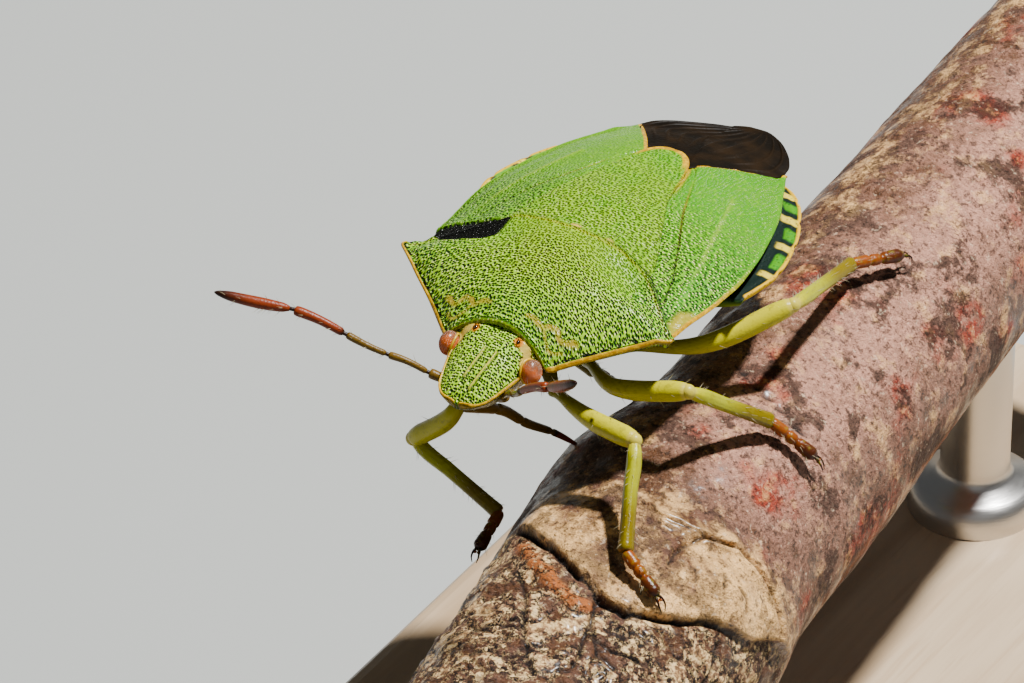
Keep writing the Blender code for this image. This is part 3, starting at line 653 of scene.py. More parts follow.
class Finish(Tree):
    """One material on a Principled shader."""

    def __init__(self, name, **constants):
        self.material = bpy.data.materials.new(name)
        self.material.use_nodes = True
        self.tree = self.material.node_tree
        self.shader = self.tree.nodes["Principled BSDF"]
        self.feed_named(self.shader, constants)
        place = self.node("ShaderNodeTexCoord").outputs["Object"]
        self.place = self.node("ShaderNodeMapping", {}, place, Scale=(1 / MM,) * 3).outputs[0]

    def mark(self, name):
        return Value(self, self.node("ShaderNodeAttribute", {"attribute_name": name}).outputs["Fac"])

    def mark_vector(self, name):
        return self.node("ShaderNodeAttribute", {"attribute_name": name}).outputs["Vector"]

    def noise(self, size, detail=2.0, roughness=0.55, at=None):
        """Noise from 0 to 1 with lumps about size millimetres across."""
        sockets = {"Vector": at or self.place, "Scale": 1 / size, "Detail": detail, "Roughness": roughness}
        return Value(self, self.node("ShaderNodeTexNoise", {}, **sockets).outputs["Fac"])

    def cells(self, size, at=None, flat=False, randomness=1.0):
        """The distance from the middle of random cells of a size."""
        sockets = {"Vector": at or self.place, "Scale": 1 / size, "Randomness": randomness}
        settings = {"voronoi_dimensions": "2D" if flat else "3D", "feature": "F1"}
        return Value(self, self.node("ShaderNodeTexVoronoi", settings, **sockets).outputs["Distance"])

    def mix(self, share, first, second):
        made = self.node("ShaderNodeMix", {"data_type": "RGBA"}, share)
        for socket, colour in zip(made.inputs[6:8], (first, second)):
            self.feed(socket, colour)
        return made.outputs[2]

    def layered(self, colour, *layers):
        """A colour with others laid over it in turn, each by a share or by the mark of that name."""
        for share, over in layers:
            colour = self.mix(self.mark(share) if isinstance(share, str) else share, colour, over)
        return colour

    def ramp(self, value, stops):
        made = self.node("ShaderNodeValToRGB", {}, value)
        elements = made.color_ramp.elements
        while len(elements) < len(stops):
            elements.new(1.0)
        for element, (place, colour) in zip(elements, stops):
            element.position, element.color = place, (*colour, 1.0)
        return made.outputs["Color"]

    def relief(self, *bumps):
        """Bumps one over the other, each a height and its depth in millimetres."""
        normal = None
        for height, depth in bumps:
            bumped = self.node("ShaderNodeBump", {}, Height=height, Distance=depth * MM, Normal=normal)
            normal = bumped.outputs[0]
        return normal

    def done(self, colour, roughness, normal=None, **more):
        self.feed_named(self.shader, {"Base_Color": colour, "Roughness": roughness, "Normal": normal, **more})
        return self.material


def cuticle_finish(looks):
    """Green cuticle with dark pits, painted glints beside them, and painted shade on the head's underside and
    along plate edges. Its marks say where it is pitted, and where it has each colour.
    """
    ink = Finish("green_cuticle", Specular_IOR_Level=0.22)
    rows, strength = ink.mark_vector("pits_at"), ink.mark("pit")
    wander = ink.node("ShaderNodeTexNoise", {}, Vector=rows, Scale=0.35, Detail=1.0).outputs["Color"]
    shifted = ink.vectors("MULTIPLY_ADD", wander, (0.9,) * 3, rows)
    beside = ink.vectors("ADD", shifted, GLINT_OFFSET)
    pits, glint_spots = (ink.cells(1.0, at, True, looks.pit_scatter) for at in (shifted, beside))
    hole = pits.fade(0.37, 0.17) * (strength * 1.2).clipped()
    # Painted glints: pale spots set a little beside each pit stand in for light caught on its wall.
    painted_glint = glint_spots.fade(0.30, 0.14) * ink.noise(0.09, 1.0).fade(0.44, 0.54) * ink.mark("glint")
    broad, fine = ink.noise(0.9, 3.0), ink.noise(0.12, 2.0)
    flecks = fine.fade(0.4, 0.7)
    colour = ink.layered(
        looks.green,
        ((ink.mark("olive") + (broad - 0.5) * 0.9).clipped(), looks.olive),
        ((ink.mark("cool") + (broad - 0.55) * 0.5).clipped(), looks.emerald),
        ((ink.mark("fresh") * pits.fade(0.35, 0.6) + fine.fade(0.5, 0.75) * 0.25).clipped(), looks.fresh),
        # Brown on the head's underside is painted shade.
        ("brown", looks.brown),
        (painted_glint, looks.painted_glint),
        (hole, ink.mix(strength.fade(0.5, 0.8), looks.pit_green, looks.pit_colour)),
        ("tan", ink.mix(flecks * 0.5, looks.callus, looks.cream)),
        ("pale", ink.mix(flecks * 0.5, looks.cream, looks.callus)),
        ("orange", looks.ocellus),
        ("rim", ink.mix(flecks, looks.rim, looks.rim_bright)),
        ("dark", BLACK),
    )
    sunk = pits.fade(0.06, 0.5) * strength
    rough = ink.relief((broad, 0.02), (ink.noise(0.05, 2.0), 0.010), (sunk, looks.pit_depth))
    return ink.done(colour, hole * 0.35 + 0.22, rough)


def membrane_finish(looks):
    """Very dark brown, glossy wing membrane with paler veins."""
    ink = Finish("dark_membrane", Specular_IOR_Level=0.1)
    patches = ink.noise(0.7, 3.0).fade(0.35, 0.75)
    colour = ink.layered(
        looks.membrane, (patches, looks.membrane_warm), (ink.mark("vein") * 0.5, looks.membrane_warm),
    )
    return ink.done(colour, 0.5, ink.relief((ink.noise(0.10, 2.0), 0.012)))


def belly_finish(looks):
    """Yellow-green underside, and the banded rim of the abdomen, with painted shade on the breast and under
    the wings.
    """
    ink = Finish("belly", Specular_IOR_Level=0.12)
    broad, fine, pits = ink.noise(0.8, 3.0), ink.noise(0.08, 2.0), ink.cells(0.11)
    colour = ink.layered(
        looks.belly,
        (broad.fade(0.35, 0.7), looks.belly_pale),
        # Brown on the breast and its coxa stubs is painted shade.
        ("shade", looks.brown),
        ("green", ink.mix(fine.fade(0.4, 0.7), looks.green, looks.emerald)),
        ("dark", DARK_GREEN),
        ("band", looks.band),
        ("rim", looks.rim_bright),
        (pits.fade(0.3, 0.15) * 0.5, looks.pit_colour),
    )
    return ink.done(colour, 0.55, ink.relief((pits.fade(0.08, 0.45), 0.012)))


def limb_finish(looks):
    """Limb cuticle whose colour runs from the coxa to the claws."""
    ink = Finish("leg", Coat_Weight=0.05, Coat_Roughness=0.15, Specular_IOR_Level=0.22)
    fine = ink.noise(0.15, 2.0)
    # The ramp starts in dark olive, painted shade at the base of the femur.
    stops = (
        (0.0, looks.leg_base), (0.16, looks.leg_femur), (0.33, looks.leg_femur), (0.38, looks.leg_green),
        (0.46, looks.leg_green), (0.56, looks.leg_tibia), (0.66, looks.leg_tibia), (0.672, looks.tarsus),
        (0.78, looks.tarsus), (0.88, looks.tarsus_dark), (1.0, looks.claw),
    )
    colour = ink.layered(
        ink.ramp(ink.mark("along") * (1 / 3) + (fine - 0.5) * 0.03, stops),
        (fine.fade(0.52, 0.72) * 0.45, looks.leg_base),
        ("knee", looks.knee),
        ("spot", BLACK_BROWN),
    )
    return ink.done(colour, 0.30, ink.relief((ink.noise(0.05, 2.0), 0.010)))


def feeler_finish(looks):
    """Feelers: olive brown, then red-brown, then nearly black."""
    ink = Finish("feeler", Specular_IOR_Level=0.18)
    stops = (
        (0.0, looks.feeler_base), (0.5, looks.feeler_base), (0.595, looks.feeler_base), (0.602, looks.claw),
        (0.62, looks.feeler_red), (0.78, looks.feeler_red), (0.90, looks.feeler_red), (0.98, looks.claw),
    )
    colour = ink.layered(
        ink.ramp(ink.mark("along") * (1 / LIMB_SPAN), stops),
        (ink.noise(0.10, 2.0).fade(0.5, 0.8) * 0.5, looks.claw),
        ("neck", looks.claw),
    )
    return ink.done(colour, 0.33, ink.relief((ink.noise(0.045, 2.0), 0.008)))


def eye_finish(looks):
    """Compound eye, grey-brown above and brick red below."""
    ink = Finish("eye", Coat_Weight=0.4, Coat_Roughness=0.15)
    above = (ink.mark("up") + (ink.noise(0.12, 2.0) - 0.5) * 0.5).fade(0.5, 0.92)
    colour = ink.mix(above, looks.eye_red, looks.eye_grey)
    return ink.done(colour, 0.28, ink.relief((ink.noise(0.02, 1.0), 0.004)))


def plain_finish(name, colour, roughness, **constants):
    """A one-colour finish with a fine grain."""
    ink = Finish(name, **constants)
    shade = tuple(channel * 0.6 for channel in colour)
    mottled = ink.mix(ink.noise(0.12, 2.0).fade(0.35, 0.75), colour, shade)
    return ink.done(mottled, roughness, ink.relief((ink.noise(0.06, 2.0), 0.006)))


def bark_finish(looks):
    """Mottled bark, rough in front of the ledge and smooth behind it, with sawn ends, a painted sheen along
    its lit top and painted highlights on the rough bark in front.
    """
    ink = Finish("bark", Coat_Roughness=0.22, Specular_IOR_Level=0.25)
    broad, patch, fine = ink.noise(2.2, 4.0), ink.noise(0.7, 6.0, 0.68), ink.noise(0.16, 4.0, 0.7)
    blotch, speck = ink.noise(1.3, 6.0, 0.72), ink.noise(0.06, 3.0)
    front, tan = ink.mark("front"), ink.mark("tan")
    crevice = (patch - 0.5).maths("ABSOLUTE", patch - 0.5).fade(0.022, 0.006) * (front * 0.9 + 0.12)
    rings = ink.node("ShaderNodeCombineXYZ", {}, ink.mark("radial") * 9.0).outputs[0]
    bands = ink.node("ShaderNodeTexWave", {"wave_type": "BANDS"}, rings, Scale=0.5, Distortion=0.3)
    colour = ink.layered(
        looks.bark_brown,
        (patch.fade(0.44, 0.58), looks.bark_grey),
        # Lilac: blotches of it, and a painted sheen along the lit top of the branch.
        ((ink.mark("lilac") * 1.3 + (blotch - 0.5) * 4.0).clipped(), looks.bark_lilac),
        ((ink.mark("red") * patch.fade(0.38, 0.55)).clipped(), looks.bark_red),
        ((tan * 1.6 - 0.2 + (patch - 0.5) * 4.5).clipped(), looks.bark_tan),
        (blotch.fade(0.50, 0.60) * (1 - tan * 0.35) * 0.85, looks.bark_dark),
        # Painted highlight: gold on the raised tops of the rough bark.
        (front * fine.fade(0.53, 0.43) * patch.fade(0.43, 0.51), looks.bark_gold),
        (ink.mark("lip") * fine.fade(0.25, 0.6), looks.bark_orange),
        (fine.fade(0.53, 0.64) * 0.75, looks.bark_dark),
        (fine.fade(0.42, 0.32) * 0.4, looks.bark_pale),
        ((ink.mark("crack") + crevice).clipped(), looks.bark_black),
        ("cut", ink.mix(Value(ink, bands.outputs["Fac"]) * 0.6, looks.cut_wood, looks.cut_ring)),
    )
    rough = ink.relief((broad, 0.15), (patch - crevice * 0.4, 0.35), (fine, 0.12), (speck, 0.015))
    gloss = blotch.fade(0.53, 0.42) * 0.35
    return ink.done(colour, blotch.fade(0.38, 0.62) * 0.35 + 0.35, rough, Coat_Weight=gloss)


def floor_finish(looks):
    """The plain floor of the studio."""
    return Finish("floor").done(looks.floor, 0.8)


def wood_finish(looks):
    """Pale wood with long grain, for the stand's base."""
    ink = Finish("base_wood", Coat_Weight=0.15, Coat_Roughness=0.3)
    grain = ink.node("ShaderNodeMapping", {}, ink.place, Scale=(1.0, 0.06, 1.0)).outputs[0]
    bands, pores = ink.noise(1.6, 4.0, at=grain), ink.noise(0.25, 2.0, at=grain)
    shares = bands.fade(0.35, 0.65), pores.fade(0.55, 0.7) * 0.4
    colour = ink.layered(looks.wood, *((share, looks.wood_dark) for share in shares))
    return ink.done(colour, 0.42, ink.relief((pores, 0.02)))


def metal_finish(looks):
    """Brushed metal, for the stand's rods."""
    ink = Finish("rod_metal", Metallic=1.0)
    brushed = ink.node("ShaderNodeMapping", {}, ink.place, Scale=(0.1, 0.1, 1.0)).outputs[0]
    lines = ink.noise(0.05, 2.0, at=brushed)
    return ink.done(looks.metal, lines * 0.15 + 0.28, ink.relief((lines, 0.004)))


# Settings that a user would change

def tint(name, what, *default):
    """A colour that a user would change."""
    settings = {"default": default, "size": 3, "subtype": "COLOR", "min": 0.0, "max": 1.0}
    return FloatVectorProperty(name=name, description=f"Colour of {what}", **settings)


class BugLooks(bpy.types.PropertyGroup):
    """Colours and small sizes of the bug."""

    green: tint("Green", "the back", 0.062, 0.27, 0.0)
    olive: tint("Olive", "the middle of the pronotum", 0.19, 0.32, 0.0)
    emerald: tint("Emerald", "the outer parts of the back", 0.03, 0.22, 0.015)
    fresh: tint("Fresh green", "the small ridges between the pits", 0.34, 0.6, 0.01)
    pit_colour: tint("Pits", "the pits", 0.004, 0.018, 0.004)
    # Colour of the painted glints beside the pits
    painted_glint: tint("Shine", "the bright walls of the pits", 0.92, 0.95, 0.32)
    pit_green: tint("Soft pits", "the pits where they are shallow", 0.022, 0.1, 0.002)
    callus: tint("Callus", "the smooth marks behind the head", 0.34, 0.23, 0.01)
    cream: tint("Cream", "the pale patches of the head", 0.6, 0.43, 0.07)
    ocellus: tint("Ocellus ring", "the rings of the simple eyes", 0.62, 0.2, 0.0)
    rim: tint("Margin", "the margins of head and pronotum", 0.40, 0.2, 0.0)
    rim_bright: tint("Bright margin", "the bright part of the margins", 0.66, 0.38, 0.0)
    # Brown of the painted shade on the undersides of head and breast
    brown: tint("Brown", "the underside of the head", 0.10, 0.075, 0.004)
    membrane: tint("Membrane", "the wing membrane", 0.004, 0.0025, 0.001)
    membrane_warm: tint("Warm membrane", "the membrane's paler parts", 0.014, 0.007, 0.002)
    belly: tint("Belly", "the underside", 0.17, 0.22, 0.01)
    belly_pale: tint("Pale belly", "the underside's paler parts", 0.3, 0.32, 0.04)
    band: tint("Band", "the bands of the abdomen's rim", 0.72, 0.55, 0.04)
    # Dark olive for the mottling of the legs and for painted shade at the base of the femurs
    leg_base: tint("Leg base", "the base of the legs", 0.22, 0.19, 0.005)
    leg_femur: tint("Femur", "the thighs", 0.5, 0.45, 0.0)
    leg_green: tint("Upper tibia", "the upper part of the shins", 0.34, 0.34, 0.0)
    leg_tibia: tint("Lower tibia", "the lower part of the shins", 0.16, 0.115, 0.0)
    tarsus: tint("Tarsus", "the feet", 0.22, 0.05, 0.004)
    tarsus_dark: tint("Dark tarsus", "the end of the feet", 0.07, 0.015, 0.003)
    claw: tint("Claw", "the claws", 0.018, 0.006, 0.003)
    knee: tint("Knee", "the pale skin of the knees", 0.52, 0.42, 0.05)
    feeler_base: tint("Feeler", "the inner feelers", 0.13, 0.07, 0.006)
    feeler_red: tint("Red feeler", "the outer feelers", 0.2, 0.03, 0.006)
    eye_red: tint("Eye below", "the lower eye", 0.62, 0.12, 0.004)
    eye_grey: tint("Eye above", "the upper eye", 0.2, 0.075, 0.032)
    hair: tint("Hair", "the fine hairs", 0.45, 0.38, 0.22)
    pit_depth: FloatProperty(name="Pit depth", description="Depth of the pits, in millimetres", default=0.08,
                             min=0.0, max=0.2)
    pit_scatter: FloatProperty(name="Pit scatter", description="How far the pits stray from their rows",
                               default=0.72, min=0.0, max=1.0, subtype="FACTOR")
    hair_count: IntProperty(name="Hairs", description="Hairs for each square millimetre of a limb",
                            default=16, min=0, max=200)
    hair_length: FloatProperty(name="Hair length", description="Length of a hair", default=0.00018,
                               min=0.0, max=0.001, subtype="DISTANCE", unit="LENGTH")


class StandLooks(bpy.types.PropertyGroup):
    """Colours of the branch and its stand."""

    bark_brown: tint("Brown", "the plain bark", 0.105, 0.041, 0.016)
    bark_grey: tint("Grey", "the weathered bark", 0.22, 0.105, 0.055)
    bark_tan: tint("Tan", "the smooth bark", 0.98, 0.56, 0.2)
    # Also the colour of the painted sheen along the lit top
    bark_lilac: tint("Lilac", "the bloom on the bark", 0.56, 0.27, 0.18)
    bark_red: tint("Red", "the red patches", 0.34, 0.035, 0.014)
    bark_orange: tint("Orange", "the lip of the crack", 0.5, 0.14, 0.025)
    # Colour of the painted highlights on the rough bark
    bark_gold: tint("Gold", "the tops of the rough bark", 0.9, 0.6, 0.26)
    bark_dark: tint("Dark", "the dark flecks", 0.022, 0.01, 0.005)
    bark_pale: tint("Pale", "the pores", 0.9, 0.68, 0.45)
    bark_black: tint("Crack", "the cracks", 0.008, 0.005, 0.004)
    cut_wood: tint("Cut wood", "the sawn ends", 0.62, 0.45, 0.26)
    cut_ring: tint("Ring", "the growth rings", 0.42, 0.27, 0.13)
    wood: tint("Base wood", "the base", 0.56, 0.42, 0.27)
    wood_dark: tint("Base grain", "the grain of the base", 0.40, 0.27, 0.15)
    metal: tint("Metal", "the rods", 0.62, 0.60, 0.57)


class StudioLooks(bpy.types.PropertyGroup):
    """The floor and the lights."""

    floor: tint("Floor", "the floor", 0.37, 0.38, 0.36)
    key_power: FloatProperty(name="Key light", description="Power of the key light", default=1.5, min=0.0,
                             max=10.0, unit="POWER")
    key_size: FloatProperty(name="Key size", description="Width of the key light", default=0.016, min=0.001,
                            max=1.0, subtype="DISTANCE", unit="LENGTH")
    fill_power: FloatProperty(name="Fill light", description="Power of the fill light", default=0.03, min=0.0,
                              max=10.0, unit="POWER")
    sky: FloatProperty(name="Sky", description="Strength of the light all round", default=0.10, min=0.0,
                       max=5.0)


# Pieces of the bug

def outline_of(stations, side=1, reach=None):
    """Points along a piece's outline on one side."""
    y = np.linspace(*(reach or (stations[0][0], stations[-1][0])), OUTLINE_STEPS)
    return np.stack([side * through(stations, y), y], -1)


def make_head(finish):
    """The head with its side lobes, clypeus, raised margin and pale patches."""
    stations = HEAD_REACH[0] + (HEAD_REACH[1] - HEAD_REACH[0]) * np.linspace(0, 1, HEAD_ROWS) ** 1.35
    lobes, crown = (arched(HEAD_CROWN, HEAD_EDGE, HEAD_HALF, power) for power in (HEAD_BULGE, HEAD_FULLNESS))
    keel = arched(HEAD_KEEL, HEAD_EDGE, HEAD_HALF)

    def top(x, y, across):
        rear = fade(y, -3.3, -2.6)
        return lobes(x, y) * (1 - rear) + crown(x, y) * rear

    rings, upper = shell(
        stations, through(HEAD_HALF, stations), HEAD_COLUMNS, 0.5, top, lambda x, y, across: keel(x, y),
    )
    points, x, y, span = laid_out(rings)
    edge = away(span, outline_of(HEAD_HALF))
    lines, seam_and_edge_shade = (
        np.minimum(*(away(points[:, :2], line) for line in pair)) for pair in (CLYPEUS_LINES, HEAD_SEAMS)
    )
    ridge = bump(lines, 0, 0.024) - 0.9 * bump(lines, 0.06, 0.022)
    lift = 0.03 * ridge + 0.05 * bump(edge, 0.01, 0.035) - 0.02 * bump(edge, 0.10, 0.05)
    lift -= 0.015 * bump(seam_and_edge_shade, 0, 0.02)
    from_eye = (np.column_stack([span, points[:, 2]]) - EYE_CENTRE) / (EYE_RADII + 0.03)
    eye_gap = np.linalg.norm(from_eye, axis=1)
    lift += 0.04 * bump(eye_gap, 1.0, 0.16)
    points[:, 2] += np.where(upper, lift, 0)
    ocellus = np.linalg.norm(span - OCELLUS, axis=1)
    wobble = noise(points, 0.12, 3, 2)
    cream = fade(away(span, CREAM_LINE) + 0.05 * wobble, 0.14, 0.07)
    pale = upper * held(cream + 0.8 * bump(lines, 0, 0.022) + 0.8 * bump(eye_gap, 1.0, 0.10))
    front = fade(edge, 0.065, 0.035) * fade(y, -2.9, -3.1)
    return single(
        "bug_head", "head", rings, finish, "green_cuticle",
        pit=np.where(upper, fade(edge, 0.05, 0.09) * (1 - pale) * fade(lines, 0.03, 0.06), 0.5),
        rim=np.where(upper, front, 0.6 * fade(edge, 0.03, 0.0)),
        pale=pale,
        orange=upper * fade(ocellus + 0.03 * wobble, 0.13, 0.09),
        cool=upper * (0.1 + 0.2 * wobble),
        olive=upper * 0.45,
        # Painted shade: the head's underside is brown.
        brown=np.where(upper, 0.0, 0.9),
        fresh=upper * (1.0 + 0.2 * wobble),
        dark=upper * (0.4 * bump(seam_and_edge_shade, 0, 0.012) + 0.8 * bump(lines, 0.045, 0.014)),
        glint=upper * (1 - pale),
        pits_at=pit_rows(x, y, *HEAD_PITS),
    )


def make_pronotum(finish):
    """The shield behind the head, with its margins, calluses and rows of pits."""
    rings, _ = plate(
        np.linspace(*PRONOTUM_REACH, PRONOTUM_ROWS), two_sided(PRONOTUM_LEFT, PRONOTUM_RIGHT), pronotum_top,
        PRONOTUM_COLUMNS, *PRONOTUM_PLATE,
        lambda share, along: PRONOTUM_HOLLOW * (1 - share**2) * (1 - along) ** 3,
    )
    points, x, y, span = laid_out(rings)
    wide, rear = np.abs(x), pronotum_rear(x) - y
    margin = np.minimum(*(away(points[:, :2], outline_of(*side)) for side in PRONOTUM_MARGINS))
    collar = y - (PRONOTUM_REACH[0] + PRONOTUM_HOLLOW * (1 - held(wide / 1.43) ** 2))
    near_head = wide < 1.6
    wobble = noise(points, 0.35, 5, 3)
    strayed = span + 0.04 * stray(points, 0.25, 8, 2)
    main, loop = (away(strayed, smooth_path(line, 30)) for line in CALLUS_LINES)
    callus = np.minimum(main, loop)
    ribbon = 0.055 + 0.03 * wobble
    pale = np.maximum(fade(main, ribbon + 0.02, ribbon - 0.02), 0.9 * fade(loop, 0.05, 0.02))
    pale *= 0.7 + 0.3 * fade(noise(points, 0.12, 6, 2), -0.2, 0.3)
    lift = 0.025 * pale - 0.02 * bump(callus, 0.13, 0.05) + 0.05 * bump(margin, 0.02, 0.045)
    lift += -0.03 * bump(margin, 0.15, 0.06) - 0.025 * bump(collar, 0.16, 0.07) * near_head
    lift += 0.015 * noise(points, 0.6, 2, 2) + 0.03 * bump(rear, 0.06, 0.06)
    lift -= 0.05 * bump(np.hypot(wide - 1.1, (y + 2.25) * 1.5), 0, 0.55)
    ahead = y - through(STRIP_FRONT, x)
    strip = fade(ahead, -0.02, 0.03) * fade(x, -1.52, -1.64) * fade(x, -3.62, -3.45)
    lift += 0.03 * bump(ahead, -0.06, 0.05) * (x < -1.45) - 0.05 * strip
    points[:, 2] += lift
    middle = held(1.2 - np.abs(x - 0.1) / 2.4) * fade(y, -2.3, -0.9)
    dots = fade(noise(points, 0.075, 4), -0.15, 0.05)
    shallow = fade(y + 0.35 * wide + 0.3 * wobble, -0.9, 0.9) * fade(wide, 2.9, 1.8)
    bright = fade(margin + 0.015 * wobble, 0.075, 0.05) + 0.3 * bump(collar, 0.0, 0.02) * near_head
    beside = fade(np.abs(x - 0.1), 0.8, 1.7) * fade(y, 0.2, -0.6)
    ring = 0.5 * bump(callus, 0.085, 0.03) * dots
    # Painted shade: a thin dark line along the rear edge, where the pronotum stands over the scutellum and
    # wings.
    seam_and_edge_shade = 0.85 * bump(rear, 0.05, 0.026) * fade(x, -1.5, -1.3)
    return single(
        "bug_pronotum", "pronotum", rings, finish, "green_cuticle",
        pit=(1 - pale) * fade(margin, 0.06, 0.10) * (0.95 - 0.5 * shallow)
        * np.where(near_head, fade(collar, 0.03, 0.09), 1),
        rim=held(bright + 0.25 * bump(rear, 0.12, 0.03)),
        tan=pale * 0.9,
        glint=(1 - pale) * (1 - 0.75 * shallow) * (0.6 + 0.4 * fade(wide, 0.4, 1.8)),
        dark=held(1.4 * bump(margin, 0.10, 0.038) * dots + strip + ring + seam_and_edge_shade),
        olive=middle * (0.95 + 0.3 * wobble) + 0.3 * bump(collar, 0, 0.05) * near_head,
        cool=fade(wide + 0.4 * wobble, 1.6, 3.4) * 0.75 + 0.25 * fade(y, -1.8, -2.6),
        fresh=held(0.3 + 0.5 * fade(y + 0.3 * wobble, -0.6, -2.2) + 0.35 * beside),
        pits_at=pit_rows(x, y + 0.34 * np.sqrt(x**2 + 0.4), *PRONOTUM_PITS),
    )


def make_scutellum(finish):
    """The triangular shield between the wings, with pale spots at its base and a yellow tip."""
    start, end = SCUTELLUM_REACH
    rings, edge = plate(
        start + (end - start) * np.sin(np.linspace(0, math.pi / 2, SCUTELLUM_ROWS)),
        two_sided(SCUTELLUM_LEFT, SCUTELLUM_RIGHT),
        lambda x, y: back_top(x, y) + 0.08 * fade(y, 0.6, 2.2) + 0.06 * fade(y, 4.0, 5.0) - 0.02,
        SCUTELLUM_COLUMNS, *SCUTELLUM_PLATE,
    )
    points, x, y, span = laid_out(rings)
    tip = away(span, outline_of(SCUTELLUM_LEFT, 1, SCUTELLUM_TIP))
    wobble = noise(points, 0.4, 6, 3)
    points[:, 2] += 0.02 * noise(points, 0.5, 7, 2) - 0.03 * bump(tip, 0.26, 0.1)
    behind = y - pronotum_rear(x)
    middle, aside = (np.linalg.norm((span - spot) / SPOT_SIZE, axis=1) for spot in SCUTELLUM_SPOTS)
    spot = fade(np.minimum(middle, aside * 1.25) + 0.3 * wobble, 1.1, 0.7)
    rim = fade(tip + 0.02 * wobble, 0.19, 0.13) * fade(y, 4.35, 4.8)
    right = fade(edge, 0.06, 0.03) * (x < 0) * fade(y, 3.9, 3.2)
    rear = fade(y, 3.0, 5.0)
    return single(
        "bug_scutellum", "scutellum", rings, finish, "green_cuticle",
        pit=(1 - spot) * (1 - rim) * (0.62 - 0.22 * fade(y, 2.5, 5.0)),
        rim=held(rim + 0.7 * fade(edge, 0.05, 0.02) * fade(y, 3.0, 4.4)),
        pale=held(spot * (0.6 + 0.4 * (np.abs(x) < 0.4)) + 0.5 * right),
        olive=0.6 + 0.35 * wobble - 0.3 * rear,
        cool=0.15 * wobble + 0.1 * rear,
        fresh=0.2,
        # The dark band just behind the pronotum's rear edge is painted shade.
        dark=held(0.9 * bump(behind, 0.07, 0.04) + 0.6 * fade(edge, 0.035, 0.0) * fade(y, 4.4, 3.0)),
        glint=0.45 - 0.25 * fade(y, 1.5, 4.0),
        pits_at=pit_rows(x, y, *SCUTELLUM_PITS),
    )


def make_forewing(side, finish):
    """The leathery front part of one forewing, tucked under the pronotum and the scutellum."""
    left = side > 0
    name, shield, rear_line = (
        ("left", SCUTELLUM_LEFT, CORIUM_REAR) if left else ("right", SCUTELLUM_RIGHT, CORIUM_REAR_RIGHT)
    )

    def sides(y):
        inner = through(shield, max(y, 0.3)) - 0.06 if y < CLAVUS_REAR else through(rear_line, y)
        narrower = 0.0 if left else 0.2 * fade(y, 6.2, 6.78)
        outer = max(through(COSTAL_HALF, y) - narrower, inner + 0.05)
        return (inner, outer) if left else (-outer, -inner)

    stations = np.linspace(*CORIUM_REACH, CORIUM_ROWS)
    rings, _ = plate(stations, sides, back_top, CORIUM_COLUMNS, *CORIUM_PLATE)
    points, x, y, span = laid_out(rings)
    costal, rear = away(span, outline_of(COSTAL_HALF)), away(span, [place[::-1] for place in rear_line])
    clavus, vein, fork = (away(span, line) for line in (CLAVUS_LINE, CORIUM_VEIN, CORIUM_FORK))
    inner = away(span, outline_of(shield, 1, (0.6, CLAVUS_REAR)))
    wobble = noise(points, 0.4, 9 + side, 3)
    sutures = 0.75 * bump(clavus, 0, 0.022) * fade(y, 4.6, 3.0) + bump(inner, 0.0, 0.05) * fade(y, 3.2, 4.4)
    lift = -0.035 * bump(clavus, 0, 0.035) + 0.03 * bump(vein, 0, 0.07) + 0.015 * bump(fork, 0, 0.06)
    lumps = 0.02 * noise(points, 0.5, 11, 2)
    lift += 0.03 * bump(costal, 0.03, 0.05) - 0.02 * bump(costal, 0.2, 0.08) + lumps
    lift -= 0.05 * bump(inner, 0.0, 0.10)
    if left:
        base = fade(np.hypot((span[:, 0] - 3.5) / 0.28, (y + 0.15) / 0.55) + 0.4 * wobble, 1.2, 0.7)
        strip = 0.0
    else:
        base = 0.0
        behind = through(BLACK_STRIP, x) - y
        strip = fade(behind, -0.02, 0.03) * fade(x, -1.66, -1.80)
        ripples = 0.02 * np.sin(x * 2 * math.pi / STRIP_RIPPLE)
        lift += strip * (ripples - 0.05) + 0.03 * bump(behind, -0.05, 0.05) * (x < -1.7)
    points[:, 2] += lift
    far = fade(y, 1.2, 4.2)
    # Painted shade: a dark band just behind the pronotum's rear edge.
    tucked = 0.9 * bump(y - pronotum_rear(x), 0.07, 0.04) * fade(np.abs(x), 3.4, 3.0)
    outer = left * fade(costal, 0.09, 0.05) * fade(y, 3.2, 0.6)
    return single(
        f"bug_forewing_{name}", f"forewing_{name}", rings, finish, "green_cuticle",
        pit=(1 - base) * (0.72 - 0.5 * far) * fade(costal, 0.06, 0.12) * (1 - bump(vein, 0, 0.08) * 0.6),
        rim=held(fade(rear + 0.02 * wobble, 0.11, 0.07) + outer + 0.8 * sutures * fade(y, 1.0, 3.6)),
        tan=base * 0.75,
        pale=0.15 * bump(vein, 0, 0.05) * fade(y, 0.6, 2.0),
        dark=held(strip + 0.9 * bump(clavus, 0, 0.026) * fade(y, 4.4, 2.4) + tucked),
        olive=(0.10 if left else 0.55) + 0.25 * wobble,
        cool=(fade(costal, 1.3, 0.2) * 0.6 * (1 - far) + 0.25 if left else 0.35) + 0.2 * wobble,
        fresh=(0.5 * (1 - far) if left else 0.0) * (0.5 + 0.5 * wobble),
        glint=(1 - base) * (0.9 - 0.75 * far) * (1.0 if left else 0.4),
        pits_at=pit_rows(x, y, *CORIUM_PITS),
    )


